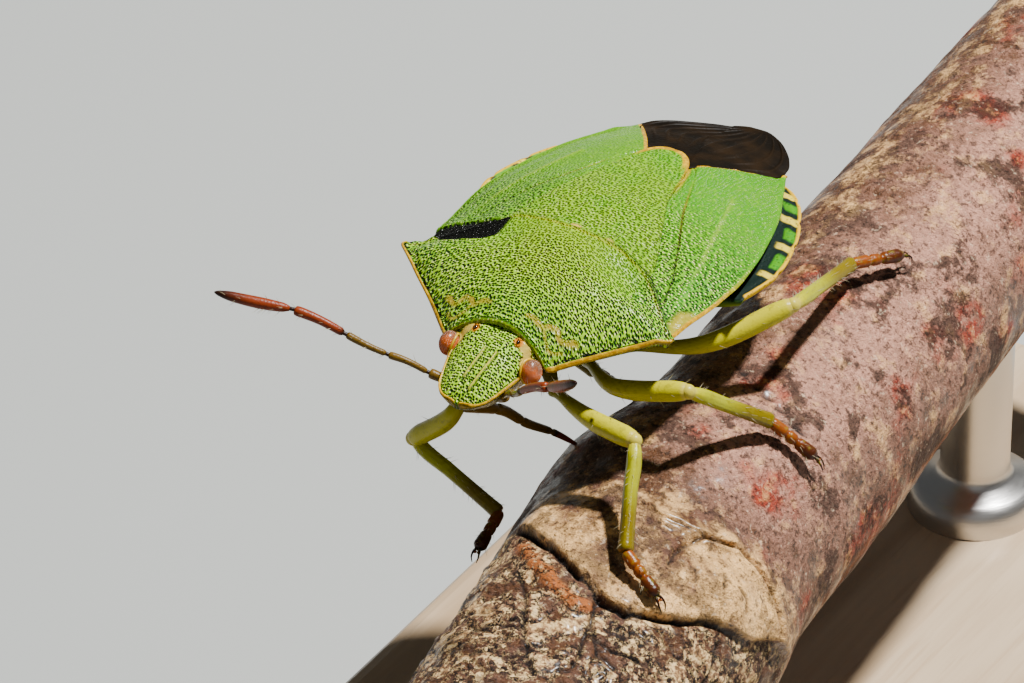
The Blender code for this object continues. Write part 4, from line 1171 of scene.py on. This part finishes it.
def make_membrane(finish):
    """The clear ends of both wings, one over the other, with raised veins."""
    rings, _ = plate(
        np.linspace(*MEMBRANE_REACH, MEMBRANE_ROWS), two_sided(MEMBRANE_LEFT, MEMBRANE_RIGHT),
        lambda x, y: back_top(x, y) - 0.03, MEMBRANE_COLUMNS, *MEMBRANE_PLATE,
    )
    points, x, y, _ = laid_out(rings)
    low, high = through(MEMBRANE_RIGHT, y), through(MEMBRANE_LEFT, y)
    middle = (high - low) / 2
    share = np.abs(x - middle) / ((high + low) / 2)
    lean = x - middle + 0.35 * (y - 6.4)
    veins = sum(bump(share, place, 0.022) for place in VEINS) * fade(y, 5.7, 6.4)
    points[:, 2] += 0.03 * veins * fade(y, 8.2, 7.8) + 0.035 * fade(lean, -0.03, 0.03)
    points[:, 2] += 0.02 * noise(points, 0.8, 3, 2)
    return single("bug_membrane", "wing_membrane", rings, finish, "dark_membrane", vein=held(veins))


def make_abdomen(finish):
    """The abdomen with its banded rim beside the wings and its ringed underside."""
    stations = np.linspace(*ABDOMEN_REACH, ABDOMEN_ROWS)
    half = through(ABDOMEN_HALF, stations) - sum(0.05 * bump(stations, end + 0.08, 0.10) for end in SEGMENTS)

    def rim_at(x, y):
        rim = through(ABDOMEN_RIM, y) + ROLL * np.where(x > 0, x, -0.6 * x) * fade(y, *ROLL_REACH)
        return rim, half[:, None] - np.abs(x)

    def top(x, y, across):
        rim, gap = rim_at(x, y)
        z = rim + 0.03 * bump(gap, 0.05, 0.06) - 0.05 * fade(gap, 0.25, 0.5)
        return np.minimum(z, back_top(x, y) - 0.3 + 0.3 * fade(gap, 0.5, 0.1))

    def floor(x, y, across):
        rim, gap = rim_at(x, y)
        z = rim - 0.05 - 0.07 * fade(gap, 0, 0.08) - through(ABDOMEN_FLOOR, y) * (1 - np.abs(across) ** 2)
        z += sum(-0.035 * bump(y + 0.25 * across**2, end, 0.04) for end in SEGMENTS) * (np.abs(across) < 0.93)
        return z - 0.05 * bump(x, 0, 0.12)

    rings, upper = shell(stations, half, ABDOMEN_COLUMNS, 0.75, top, floor)
    points, _, y, span = laid_out(rings)
    gap = away(span, outline_of(ABDOMEN_HALF))
    wobble = noise(points, 0.2, 12, 2)
    along = y - 0.35 * (4.0 - span[:, 0])
    joints = np.min([np.abs(along - end + 0.25) for end in SEGMENTS], axis=0)
    corner = fade(joints + 0.05 * wobble, 0.34, 0.24)
    return single(
        "bug_abdomen", "abdomen", rings, finish, "belly",
        green=upper * 1.0,
        # Dark corners of the rim's segments are the abdomen's own colour; the dark on its inner top and its
        # front end is painted shade under the wings.
        dark=upper * held(corner + fade(gap, 0.34, 0.42) + fade(y, 3.1, 2.9)),
        band=upper * fade(joints + 0.02 * wobble, 0.13, 0.08) * fade(gap, 0.55, 0.42),
        rim=np.where(upper, fade(gap + 0.02 * wobble, 0.10, 0.05), fade(gap, 0.12, 0.06)),
    )


def make_thorax(finish):
    """The breast under pronotum and wings, with the sutures of its side plates."""
    stations = np.linspace(*THORAX_REACH, THORAX_ROWS)

    def keel(x, y, across):
        side = through(THORAX_TOP, y)
        z = side + (through(THORAX_KEEL, y) - side) * (1 - np.abs(across) ** 1.05)
        bowed = y + 0.18 * np.sin(np.abs(across) * 5)
        z += sum(0.07 * bump(bowed, end, 0.05) for end in PLEURA) * (np.abs(across) > 0.25)
        return z - 0.10 * bump(np.abs(x), 0.0, 0.14)

    # The breast and the coxa stubs are painted brown as shade.
    form = Form()
    form.add(shell(
        stations, through(THORAX_HALF, stations), THORAX_COLUMNS, 0.5,
        lambda x, y, across: through(THORAX_TOP, y) + 0.12 * (1 - across**2), keel,
    )[0], shade=0.7)
    for (x, y, z), *_ in LEGS.values():
        stub = np.linspace((x * 0.55, y + 0.25, -1.05), (x, y, z), STUB_RINGS)
        form.add(sweep(stub, np.linspace(0.24, 0.14, STUB_RINGS)), shade=1.0)
    for side in (-1, 1):
        form.add(ball((side * 0.55, -3.46, -1.0), (0.13, 0.15, 0.13)))
    return form.build("bug_thorax", finish, "belly", ["thorax"])


def groove(angles, share):
    """The section of a tibia, with its long grooves."""
    return 1 + 0.08 * fade(share, 0.08, 0.2) * np.cos(3 * angles) - 0.05 * np.cos(9 * angles)


def fleck(points):
    """The dark dot on a femur."""
    return fade(np.linalg.norm(points - FLECK, axis=1), 0.11, 0.06)


def make_leg(name, joints, finish):
    """Coxa, femur, knee, grooved tibia, three-jointed tarsus, pads and claws."""
    coxa, middle, knee, ankle, toe = (np.array(joint) for joint in joints)
    form, share = Form(), np.linspace(0, 1, LEG_RINGS)
    form.limb(
        smooth_path((coxa, middle, knee), LEG_RINGS), through(FEMUR, share), LEG_SIDES, share, hairy=0.25,
        knee=np.repeat(fade(share, 0.955, 0.985), LEG_SIDES), spot=fleck if name == FLECKED_LEG else 0.0,
    )
    start = knee + unit(ankle - knee) * 0.05
    tibia = start + (ankle - start) * share[:, None]
    tibia += unit(knee - middle) * (0.05 * np.sin(held(share * 2.6) * math.pi) * (1 - share))[:, None]
    form.limb(
        tibia, through(TIBIA, share), LEG_SIDES, 1 + share, groove, hairy=1.0,
        knee=np.repeat(fade(share, 0.05, 0.012), LEG_SIDES),
    )
    form.add(ball(knee, KNEE_RADII), along=1.0, knee=0.8, hairy=0.0)

    ahead, share = unit(toe - ankle), np.linspace(0, 1, TARSUS_RINGS)
    tarsus = ankle + (toe - ankle) * share[:, None] * 0.86
    form.limb(tarsus, through(TARSUS, share), TARSUS_SIDES, 2 + 0.85 * share, hairy=1.3)
    tip, across = tarsus[-1], unit(np.cross(ahead, (0, 0, 1.0)))
    for side in (-1, 1):
        bend = [tip - ahead * 0.08]
        for out, apart, drop in CLAW:
            bend.append(tip + (ahead * out + across * side * apart) * CLAW_LENGTH - (0, 0, drop))
        form.add(sweep(smooth_path(bend, 16), np.linspace(0.045, 0.010, 16), 10), along=3.0, hairy=0.0)
        pad = tip + ahead * 0.1 + across * side * 0.05 - (0, 0, 0.03)
        form.add(ball(pad, PAD_RADII, 8, 10), along=2.3, hairy=0.0)
    return form.build(f"bug_{name}", finish, "leg", [name])


def make_antenna(name, joints, finish):
    """A feeler of five segments with dark necks between them."""
    form, share = Form(), np.linspace(0, 1, FEELER_RINGS)
    for i, (start, end, radius) in enumerate(zip(joints, joints[1:], ANTENNA_RADII)):
        start, end = np.array(start), np.array(end)
        path = start + (end - start) * (0.035 + 0.93 * share)[:, None]
        path += np.array((0, 0, 0.05)) * np.sin(share * math.pi)[:, None] * (1 if i % 2 else -0.6)
        shape = FEELER_SEGMENT if i < 4 else FEELER_TIP
        form.limb(path, radius * through(shape, share), 18, i + share, hairy=0.8 + 0.3 * (i > 2))
        if i:
            neck = start + (end - start) * np.linspace(-0.05, 0.05, 8)[:, None]
            form.add(sweep(neck, np.full(8, 0.05), 12), along=i, neck=1.0, hairy=0.0)
    return form.build(f"bug_{name}", finish, "feeler", [name])


def make_rostrum(finish):
    """The jointed beak, folded down under the head."""
    share = np.linspace(0, 1, BEAK_RINGS)
    radii = through(BEAK_RADII, share) * (1 - 0.3 * sum(bump(share, place, 0.012) for place in BEAK_JOINTS))
    form = Form()
    form.limb(smooth_path(BEAK, BEAK_RINGS), radii, 20, (2.2 + 2.5 * share**2) * 0.8, hairy=0.3)
    return form.build("bug_rostrum", finish, "feeler", ["rostrum"])


# Geometry Nodes for the eyes' facets and the hairs

class Wiring(Tree):
    """A Geometry Nodes tree with named inputs."""

    def __init__(self, name, inputs):
        self.tree = bpy.data.node_groups.new(name, "GeometryNodeTree")
        self.tree.interface.new_socket("Geometry", in_out="INPUT", socket_type="NodeSocketGeometry")
        self.keys = {}
        for label, kind in inputs.items():
            made = self.tree.interface.new_socket(label, in_out="INPUT", socket_type=kind)
            self.keys[label] = made.identifier
        self.tree.interface.new_socket("Geometry", in_out="OUTPUT", socket_type="NodeSocketGeometry")
        self.inlet = self.tree.nodes.new("NodeGroupInput").outputs
        self.outlet = self.tree.nodes.new("NodeGroupOutput").inputs

    def times(self, *values):
        return self.node("ShaderNodeMath", {"operation": "MULTIPLY"}, *values).outputs[0]

    def named(self, name, kind="FLOAT_VECTOR"):
        return self.node("GeometryNodeInputNamedAttribute", {"data_type": kind}, name).outputs[0]

    def keep(self, kind, geometry, name, value):
        """The geometry with a value kept on the corners of its faces."""
        settings = {"data_type": kind, "domain": "CORNER"}
        sockets = {"Geometry": geometry, "Name": name, "Value": value}
        return self.node("GeometryNodeStoreNamedAttribute", settings, **sockets).outputs[0]

    def turned(self, way):
        """The turn that stands an instance along a way."""
        return self.node("FunctionNodeAlignRotationToVector", {"axis": "Z"}, Vector=way).outputs[0]

    def copies(self, points, instance, way, scale):
        """Copies of an instance on points, each stood along a way."""
        sockets = {"Points": points, "Instance": instance, "Rotation": self.turned(way), "Scale": scale}
        return self.node("GeometryNodeInstanceOnPoints", {}, **sockets).outputs[0]

    def realized(self, geometry):
        return self.node("GeometryNodeRealizeInstances", {}, geometry).outputs[0]

    def finish(self, geometry, material):
        real = self.realized(geometry)
        painted = self.node("GeometryNodeSetMaterial", Geometry=real, Material=material).outputs[0]
        self.tree.links.new(painted, self.outlet[0])
        return self

    def result(self, name, piece, values):
        """The mesh that the tree makes from a piece, as a new object."""
        step = piece.modifiers.new(name, "NODES")
        step.node_group = self.tree
        for label, value in values.items():
            step[self.keys[label]] = value
        graph = bpy.context.evaluated_depsgraph_get()
        graph.update()
        mesh = bpy.data.meshes.new_from_object(piece.evaluated_get(graph), depsgraph=graph)
        piece.modifiers.remove(step)
        return placed(name, mesh)


def facet_wiring(finish):
    """Small domes on every point of a fine ball, as the facets of an eye."""
    wires = Wiring("Eye facets", {"Facet size": "NodeSocketFloat"})
    dome = wires.node("GeometryNodeMeshUVSphere", Segments=6, Rings=4, Radius=1.0).outputs["Mesh"]
    flat = wires.node("GeometryNodeTransform", Geometry=dome, Scale=(1.0, 1.0, 0.55)).outputs[0]
    normal = wires.node("GeometryNodeInputNormal").outputs[0]
    points = wires.node("GeometryNodeMeshToPoints", Mesh=wires.inlet[0]).outputs[0]
    both = wires.node("GeometryNodeJoinGeometry")
    for geometry in (wires.inlet[0], wires.copies(points, flat, normal, wires.inlet["Facet size"])):
        wires.tree.links.new(geometry, both.inputs[0])
    return wires.finish(both.outputs[0], finish)


def make_eye(name, side, rim_finish, wires):
    """A compound eye with real facets, in a pale rim."""
    work = bmesh.new()
    bmesh.ops.create_icosphere(work, subdivisions=EYE_DETAIL, radius=1.0)
    centre = EYE_CENTRE * (side, 1, 1)
    points = np.array([vert.co for vert in work.verts])
    for vert, place in zip(work.verts, (points * EYE_RADII + centre + BODY_PLACE) * MM):
        vert.co = place
    mesh = bpy.data.meshes.new(f"bug_{name}")
    work.to_mesh(mesh)
    work.free()
    layer = mesh.attributes.new("up", "FLOAT", "POINT")
    tilt = unit(np.array((0.25 * side, 0.45, 0.85)))
    layer.data.foreach_set("value", (0.5 + 0.5 * points @ tilt).astype(np.float32))
    mesh.shade_smooth()
    base = placed(f"bug_{name}_base", mesh)
    eye = wires.result(f"bug_{name}", base, {"Facet size": FACET_SIZE})
    eye.data.shade_smooth()
    bpy.data.objects.remove(base)
    hand_over(eye, "eye", [name])

    out = unit(np.array((0.93 * side, -0.22, 0.30)))
    first = unit(np.cross(out, (0, 0, 1.0)))
    second = np.cross(out, first)
    middle = centre - out * 0.10
    turn, angles = (np.linspace(0, 2 * math.pi, steps, endpoint=False)[:, None] for steps in EYE_RIM_STEPS)
    ring = middle + (np.cos(turn) * first * EYE_RADII[1] + np.sin(turn) * second * EYE_RADII[2]) * 0.96
    rows = [place + (np.cos(angles) * unit(place - middle) + np.sin(angles) * out) * 0.03 for place in ring]
    rim = Form()
    rim.add(np.array(rows + [rows[0] + NEARLY_CLOSED]))
    rim.build(f"bug_{name}_rim", rim_finish, "green_cuticle")


def hair_wiring(finish):
    """Short hairs scattered on a limb, leaning towards its tip. Each keeps its root's unwrap."""
    inputs = {"Length": "NodeSocketFloat", "Count": "NodeSocketFloat", "Seed": "NodeSocketInt"}
    wires = Wiring("Hairs", inputs)
    scatter = wires.node(
        "GeometryNodeDistributePointsOnFaces", {"distribute_method": "RANDOM"}, Mesh=wires.inlet[0],
        Density=wires.times(wires.named("hairy", "FLOAT"), wires.inlet["Count"]), Seed=wires.inlet["Seed"],
    )
    random = "FunctionNodeRandomValue"
    jitter = wires.node(random, {"data_type": "FLOAT_VECTOR"}, (-0.3,) * 3, (0.3,) * 3, Seed=3).outputs[0]
    size = wires.node(random, {"data_type": "FLOAT"}, None, None, 0.6, 1.2, Seed=5).outputs[1]
    leaning = wires.vectors("MULTIPLY_ADD", wires.named("lean"), (0.9,) * 3, scatter.outputs["Normal"])
    way, length = wires.vectors("ADD", leaning, jitter), wires.times(size, wires.inlet["Length"])
    hair = wires.node(
        "GeometryNodeMeshCone", Vertices=5, Side_Segments=2, Radius_Top=0.005, Radius_Bottom=0.035, Depth=1.0,
    )
    marked = wires.keep("FLOAT_VECTOR", hair.outputs[0], "own", hair.outputs["UV Map"])
    real = wires.realized(wires.copies(scatter.outputs[0], marked, way, length))
    patch = wires.vectors("MULTIPLY_ADD", wires.named("own"), HAIR_PATCH, wires.named("unwrap"))
    return wires.finish(wires.keep("FLOAT2", real, "OFBake", patch), finish)


# Branch and stand

def bark_place(line):
    """A line of (along, degrees) as places on the unrolled bark."""
    return [(along, math.radians(angle) * BRANCH_RADIUS) for along, angle in line]


def wrapped(angle):
    """An angle as one from half a turn back to half a turn on."""
    return (angle + math.pi) % (2 * math.pi) - math.pi


def branch_surface(along, angle):
    """The axis, the outward ways and the radius of the bark, with the swellings and bow of the solid."""
    radius = BRANCH_RADIUS - BRANCH_TAPER * along
    for height, station, wide, side, round_wide in SWELLINGS:
        apart = wrapped(angle - math.radians(side))
        radius = radius + height * bump(along, station, wide) * bump(apart, 0, round_wide)
    for height, count, turn in BARK_RIPPLES:
        radius = radius + height * np.sin(count * angle + turn * along)
    aside = unit(np.cross(BRANCH_ALONG, (0, 0, 1.0)))
    up = np.cross(aside, BRANCH_ALONG)
    bow = BRANCH_BOW * np.maximum(0, (BOW_REACH[0] - along) / (BOW_REACH[0] - BOW_REACH[1])) ** 1.5
    centre = BRANCH_START + BRANCH_ALONG * along[..., None]
    centre = centre + bow[..., None] * (math.sin(SIDEWAYS) * aside + math.cos(SIDEWAYS) * up)
    return centre, np.sin(angle)[..., None] * aside + np.cos(angle)[..., None] * up, radius


def make_branch(finish):
    """The cut length of branch, with its ledge, knob, cracks and folds."""
    start, end = BRANCH_REACH
    along = np.concatenate([np.linspace(start, 0, BARK_ROWS[0])[:-1], np.linspace(0, end, BARK_ROWS[1])])
    turn = np.linspace(-math.pi, math.pi, BARK_SIDES, endpoint=False)
    t, a = np.meshgrid(along, turn - BARK_CROWDING * np.sin(turn - VIEW_SIDE), indexing="ij")
    a = wrapped(a)
    centre, out, radius = branch_surface(t, a)
    rough = BRANCH_START + out * BRANCH_RADIUS + BRANCH_ALONG * t[..., None]
    warp = np.stack([t, a * BRANCH_RADIUS], -1) + 0.10 * stray(rough, 0.5, 1, 3)

    def near(*lines):
        return np.min([away(warp, bark_place(line)) for line in lines], axis=0)

    ledge, lip, arc, fold, cracks, knob_marks = (
        near(*lines) for lines in ([LEDGE], [LIP], [KNOB_ARC], [FOLD], CRACKS, KNOB_MARKS)
    )
    past = t - through([place[::-1] for place in LEDGE], np.degrees(a))
    reach = fade(a, -0.95, -0.6) * fade(a, 1.85, 1.5)
    behind = fade(past, -0.05, 0.12) * reach
    knob = np.hypot(t - KNOB[0], (a - math.radians(KNOB[1])) * BRANCH_RADIUS)
    front = fade(past, 0.1, -0.5)
    height = 0.16 * behind * bump(past, 0, 1.6) - 0.20 * bump(ledge, 0, 0.10) * reach * fade(a, 1.3, 0.5)
    height += 0.10 * bump(lip, 0, 0.16) + 0.22 * bump(knob, 0, 0.9) - 0.11 * bump(arc, 0, 0.06)
    height += 0.05 * bump(arc, 0.2, 0.12) - 0.06 * bump(knob_marks, 0, 0.04) - 0.10 * bump(cracks, 0, 0.05)
    height += 0.07 * bump(fold, 0.12, 0.12) - 0.05 * bump(fold, 0.0, 0.06)
    lumps = noise(rough, 1.8, 4, 3)
    height += 0.05 * lumps + (0.03 + 0.08 * front) * noise(rough, 0.45, 5, 3)
    plates = np.abs(noise(rough, 0.8, 6, 2))
    height -= 0.06 * front * bump(plates, 0, 0.05)
    rings = centre + out * (radius + height)[..., None]

    worn = 0.5 + 0.5 * np.maximum(bump(past, 0.2, 0.7), fade(a, 0.35, 0.8))
    smooth = behind * fade(t, 1.0, -1.0) * fade(t, -0.5, -2.2) * worn
    patch = np.hypot(t - RED_PATCH[0], (a - math.radians(RED_PATCH[1])) * BRANCH_RADIUS)
    lit, under = bump(a, math.radians(35), 0.75), bump(a, math.radians(-25), 0.4)
    marks = {
        "crack": 1.2 * fade(ledge, 0.075, 0.02) * reach * fade(a, 1.5, 0.6) + 0.9 * fade(cracks, 0.07, 0.02)
        + 0.75 * fade(arc, 0.06, 0.015) + 0.5 * fade(fold, 0.05, 0.01) + 0.8 * fade(knob_marks, 0.05, 0.02)
        + 0.6 * front * fade(plates, 0.05, 0.01),
        "tan": 0.85 * smooth + 0.3 * front * fade(lumps, -0.1, 0.4) + 0.35 * under * fade(t, 2.0, 6.0) - 0.1,
        # Painted sheen: lilac along the lit top, with lumps of lilac elsewhere.
        "lilac": 0.85 * lit * fade(t, -2.5, 1.0) + 0.2 * lumps - 0.35 * front,
        "red": fade(noise(rough, 1.3, 9, 3), 0.12, 0.5) * fade(t, -4, 0)
        + 0.9 * fade(patch, 1.1, 0.3) * fade(noise(rough, 0.5, 10, 2), -0.2, 0.3),
        "lip": np.maximum(fade(lip, 0.24, 0.10), 0.7 * bump(a, EDGE_STRIPE, 0.06) * fade(lumps, -0.4, 0.2)),
        "front": fade(past, 0.15, -0.25), "cut": 0 * t, "radial": 0 * t,
    }
    shares = CUT_SHARES[:, None, None]
    low, high = (row.mean(0) + (row - row.mean(0)) * shares for row in (rings[0], rings[-1]))
    ends = {"cut": fade(CUT_SHARES, 0.95, 0.92), "radial": CUT_SHARES}
    for key, mark in marks.items():
        cut = np.repeat(ends.get(key, 0 * CUT_SHARES)[:, None], BARK_SIDES, 1)
        marks[key] = np.concatenate([cut[::-1], held(mark), cut]).ravel()
    rings = np.concatenate([low[::-1], rings, high])
    return single("perch_bark", "perch_branch", rings, finish, "bark", **marks)


def make_rods(finish):
    """Turned rods with a small collar, seated in the base and under the branch."""
    turn = np.linspace(0, 2 * math.pi, ROD_SIDES, endpoint=False)
    for name in ("stand_rod_front", "stand_rod_rear"):
        low, high = (np.array(corner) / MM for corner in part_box(name))
        middle, radius = (low + high) / 2, (high[0] - low[0]) / 2
        collar, widths = np.array(ROD_COLLAR).T
        heights = np.concatenate([low[2] + collar, np.linspace(low[2] + 1.4, high[2] + 0.55, ROD_RINGS)])
        profile = np.concatenate([widths * radius, np.full(ROD_RINGS, radius)])[:, None]
        rings = np.stack([
            middle[0] + profile * np.cos(turn), middle[1] + profile * np.sin(turn),
            np.repeat(heights[:, None], ROD_SIDES, 1),
        ], -1) - BODY_PLACE
        single(name.replace("stand", "display"), name, rings, finish, "rod_metal")


# Operators

class BUG_OT_head(bpy.types.Operator):
    """Makes the head with its compound and simple eyes"""
    bl_idname = "bug.head"
    bl_label = "Head and eyes"

    def execute(self, context):
        looks = context.scene.bug_looks
        make_head(shared("cuticle", lambda: cuticle_finish(looks)))
        rim, wires = plain_finish("eye_rim", looks.rim_bright, 0.35), facet_wiring(eye_finish(looks))
        for name, side in (("eye_left", 1), ("eye_right", -1)):
            make_eye(name, side, rim, wires)
        form, crown = Form(), arched(HEAD_CROWN, HEAD_EDGE, HEAD_HALF, HEAD_FULLNESS)
        for side in (-1, 1):
            x, y = OCELLUS[0] * side, OCELLUS[1]
            form.add(ball((x, y, float(crown(x, y))), (0.05, 0.05, 0.045)))
        glass = plain_finish("ocellus", (0.035, 0.004, 0.002), 0.12, Coat_Weight=1.0)
        form.build("bug_ocelli", glass, "eye")
        return {"FINISHED"}


class BUG_OT_back(bpy.types.Operator):
    """Makes the pronotum, the scutellum, both forewings and their membrane"""
    bl_idname = "bug.back"
    bl_label = "Back and wings"

    def execute(self, context):
        looks = context.scene.bug_looks
        green = shared("cuticle", lambda: cuticle_finish(looks))
        make_pronotum(green)
        make_scutellum(green)
        for side in (1, -1):
            make_forewing(side, green)
        make_membrane(membrane_finish(looks))
        return {"FINISHED"}


class BUG_OT_belly(bpy.types.Operator):
    """Makes the abdomen and the breast"""
    bl_idname = "bug.belly"
    bl_label = "Abdomen and breast"

    def execute(self, context):
        finish = belly_finish(context.scene.bug_looks)
        make_abdomen(finish)
        make_thorax(finish)
        return {"FINISHED"}


class BUG_OT_limbs(bpy.types.Operator):
    """Makes the legs, the feelers, the rostrum and their hairs"""
    bl_idname = "bug.limbs"
    bl_label = "Legs, feelers and hairs"

    def execute(self, context):
        looks = context.scene.bug_looks
        leg, feeler = limb_finish(looks), feeler_finish(looks)
        hair = plain_finish("hair", looks.hair, 0.4)
        limbs = [make_leg(name, joints, leg) for name, joints in LEGS.items()]
        limbs.append(make_antenna("antenna_left", ANTENNA_LEFT, feeler))
        limbs.append(make_antenna("antenna_right", ANTENNA_RIGHT, feeler))
        limbs.append(make_rostrum(feeler))
        wires = hair_wiring(hair)
        for seed, limb in enumerate(limbs):
            values = {"Length": looks.hair_length, "Count": looks.hair_count / MM**2, "Seed": seed}
            hand_over(wires.result(limb.name + "_hairs", limb, values))
        return {"FINISHED"}


class BUG_OT_branch(bpy.types.Operator):
    """Makes the bark of the branch"""
    bl_idname = "bug.branch"
    bl_label = "Branch"

    def execute(self, context):
        make_branch(bark_finish(context.scene.stand_looks))
        return {"FINISHED"}


class BUG_OT_stand(bpy.types.Operator):
    """Finishes the base in wood and makes the metal rods"""
    bl_idname = "bug.stand"
    bl_label = "Stand"

    def execute(self, context):
        looks = context.scene.stand_looks
        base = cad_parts["stand_base"]
        base.data.materials.clear()
        base.data.materials.append(wood_finish(looks))
        make_rods(metal_finish(looks))
        return {"FINISHED"}


class BUG_OT_studio(bpy.types.Operator):
    """Makes the floor, the lights and the camera"""
    bl_idname = "bug.studio"
    bl_label = "Studio"

    def execute(self, context):
        looks, scene = context.scene.studio_looks, context.scene
        floor = bpy.data.meshes.new("floor")
        corners = [(x * FLOOR_REACH, y * FLOOR_REACH, 0) for x, y in ((-1, -1), (1, -1), (1, 1), (-1, 1))]
        floor.from_pydata(corners, [], [(0, 1, 2, 3)])
        floor.materials.append(floor_finish(looks))
        plane = placed("floor", floor)
        add_camera(scene)
        add_light(scene, "key", KEY_TOWARDS, KEY_DISTANCE, looks.key_size, looks.key_power)
        add_light(scene, "fill", FILL_TOWARDS, FILL_DISTANCE, FILL_SIZE, looks.fill_power)
        world = bpy.data.worlds.new("studio")
        world.use_nodes = True
        sky = world.node_tree.nodes["Background"].inputs
        sky["Color"].default_value = SKY_COLOUR
        sky["Strength"].default_value = looks.sky
        scene.world = world
        return {"FINISHED"}


def add_camera(scene):
    """The camera, where the photo's stood."""
    data = bpy.data.cameras.new("camera")
    data.lens, data.sensor_width, data.clip_start, data.clip_end = CAMERA_LENS, CAMERA_SENSOR, *CAMERA_CLIP
    camera = bpy.data.objects.new("camera", data)
    right = Vector((math.cos(CAMERA_AZIMUTH), math.sin(CAMERA_AZIMUTH), 0))
    back = Vector((
        math.sin(CAMERA_AZIMUTH) * math.cos(CAMERA_ELEVATION),
        -math.cos(CAMERA_AZIMUTH) * math.cos(CAMERA_ELEVATION), math.sin(CAMERA_ELEVATION),
    ))
    turn = Matrix((right, back.cross(right), back)).transposed().to_4x4()
    camera.matrix_world = Matrix.Translation((Vector(CAMERA_PLACE) + Vector(BODY_PLACE)) * MM) @ turn
    scene.collection.objects.link(camera)
    scene.camera = camera


def add_light(scene, name, towards, distance, size, power):
    """An area light aimed at the bug's back."""
    data = bpy.data.lights.new(name, "AREA")
    data.shape, data.size, data.energy = "DISK", size, power
    lamp = bpy.data.objects.new(name, data)
    lamp.location = (Vector(BODY_PLACE) + Vector(LIGHT_AIM)) * MM + towards.normalized() * distance
    lamp.rotation_euler = towards.to_track_quat("Z", "Y").to_euler()
    scene.collection.objects.link(lamp)


SHARED = {}


def shared(name, make):
    """A finish that several operators use, made once."""
    if name not in SHARED:
        SHARED[name] = make()
    return SHARED[name]


class BUG_PT_panel(bpy.types.Panel):
    """Lists the pieces of the model"""
    bl_label = "Shield bug"
    bl_idname = "BUG_PT_panel"
    bl_space_type = "VIEW_3D"
    bl_region_type = "UI"
    bl_category = "Shield bug"

    def draw(self, context):
        for operator in OPERATORS:
            self.layout.operator(operator.bl_idname)
        for group in ("bug_looks", "stand_looks", "studio_looks"):
            settings = getattr(context.scene, group)
            for key in settings.bl_rna.properties.keys():
                if key not in ("rna_type", "name"):
                    self.layout.prop(settings, key)


OPERATORS = (
    BUG_OT_studio, BUG_OT_head, BUG_OT_back, BUG_OT_belly, BUG_OT_limbs, BUG_OT_branch, BUG_OT_stand,
)
GROUPS = {"bug_looks": BugLooks, "stand_looks": StandLooks, "studio_looks": StudioLooks}


def register():
    for kind in (*GROUPS.values(), *OPERATORS, BUG_PT_panel):
        bpy.utils.register_class(kind)
    for name, group in GROUPS.items():
        setattr(bpy.types.Scene, name, PointerProperty(type=group))


def unregister():
    for name in GROUPS:
        delattr(bpy.types.Scene, name)
    for kind in reversed((*GROUPS.values(), *OPERATORS, BUG_PT_panel)):
        bpy.utils.unregister_class(kind)


def main():
    register()
    bpy.ops.bug.studio()
    bpy.ops.bug.head()
    bpy.ops.bug.back()
    bpy.ops.bug.belly()
    bpy.ops.bug.limbs()
    bpy.ops.bug.branch()
    bpy.ops.bug.stand()
    bpy.context.view_layer.update()


if __name__ == "__main__":
    main()
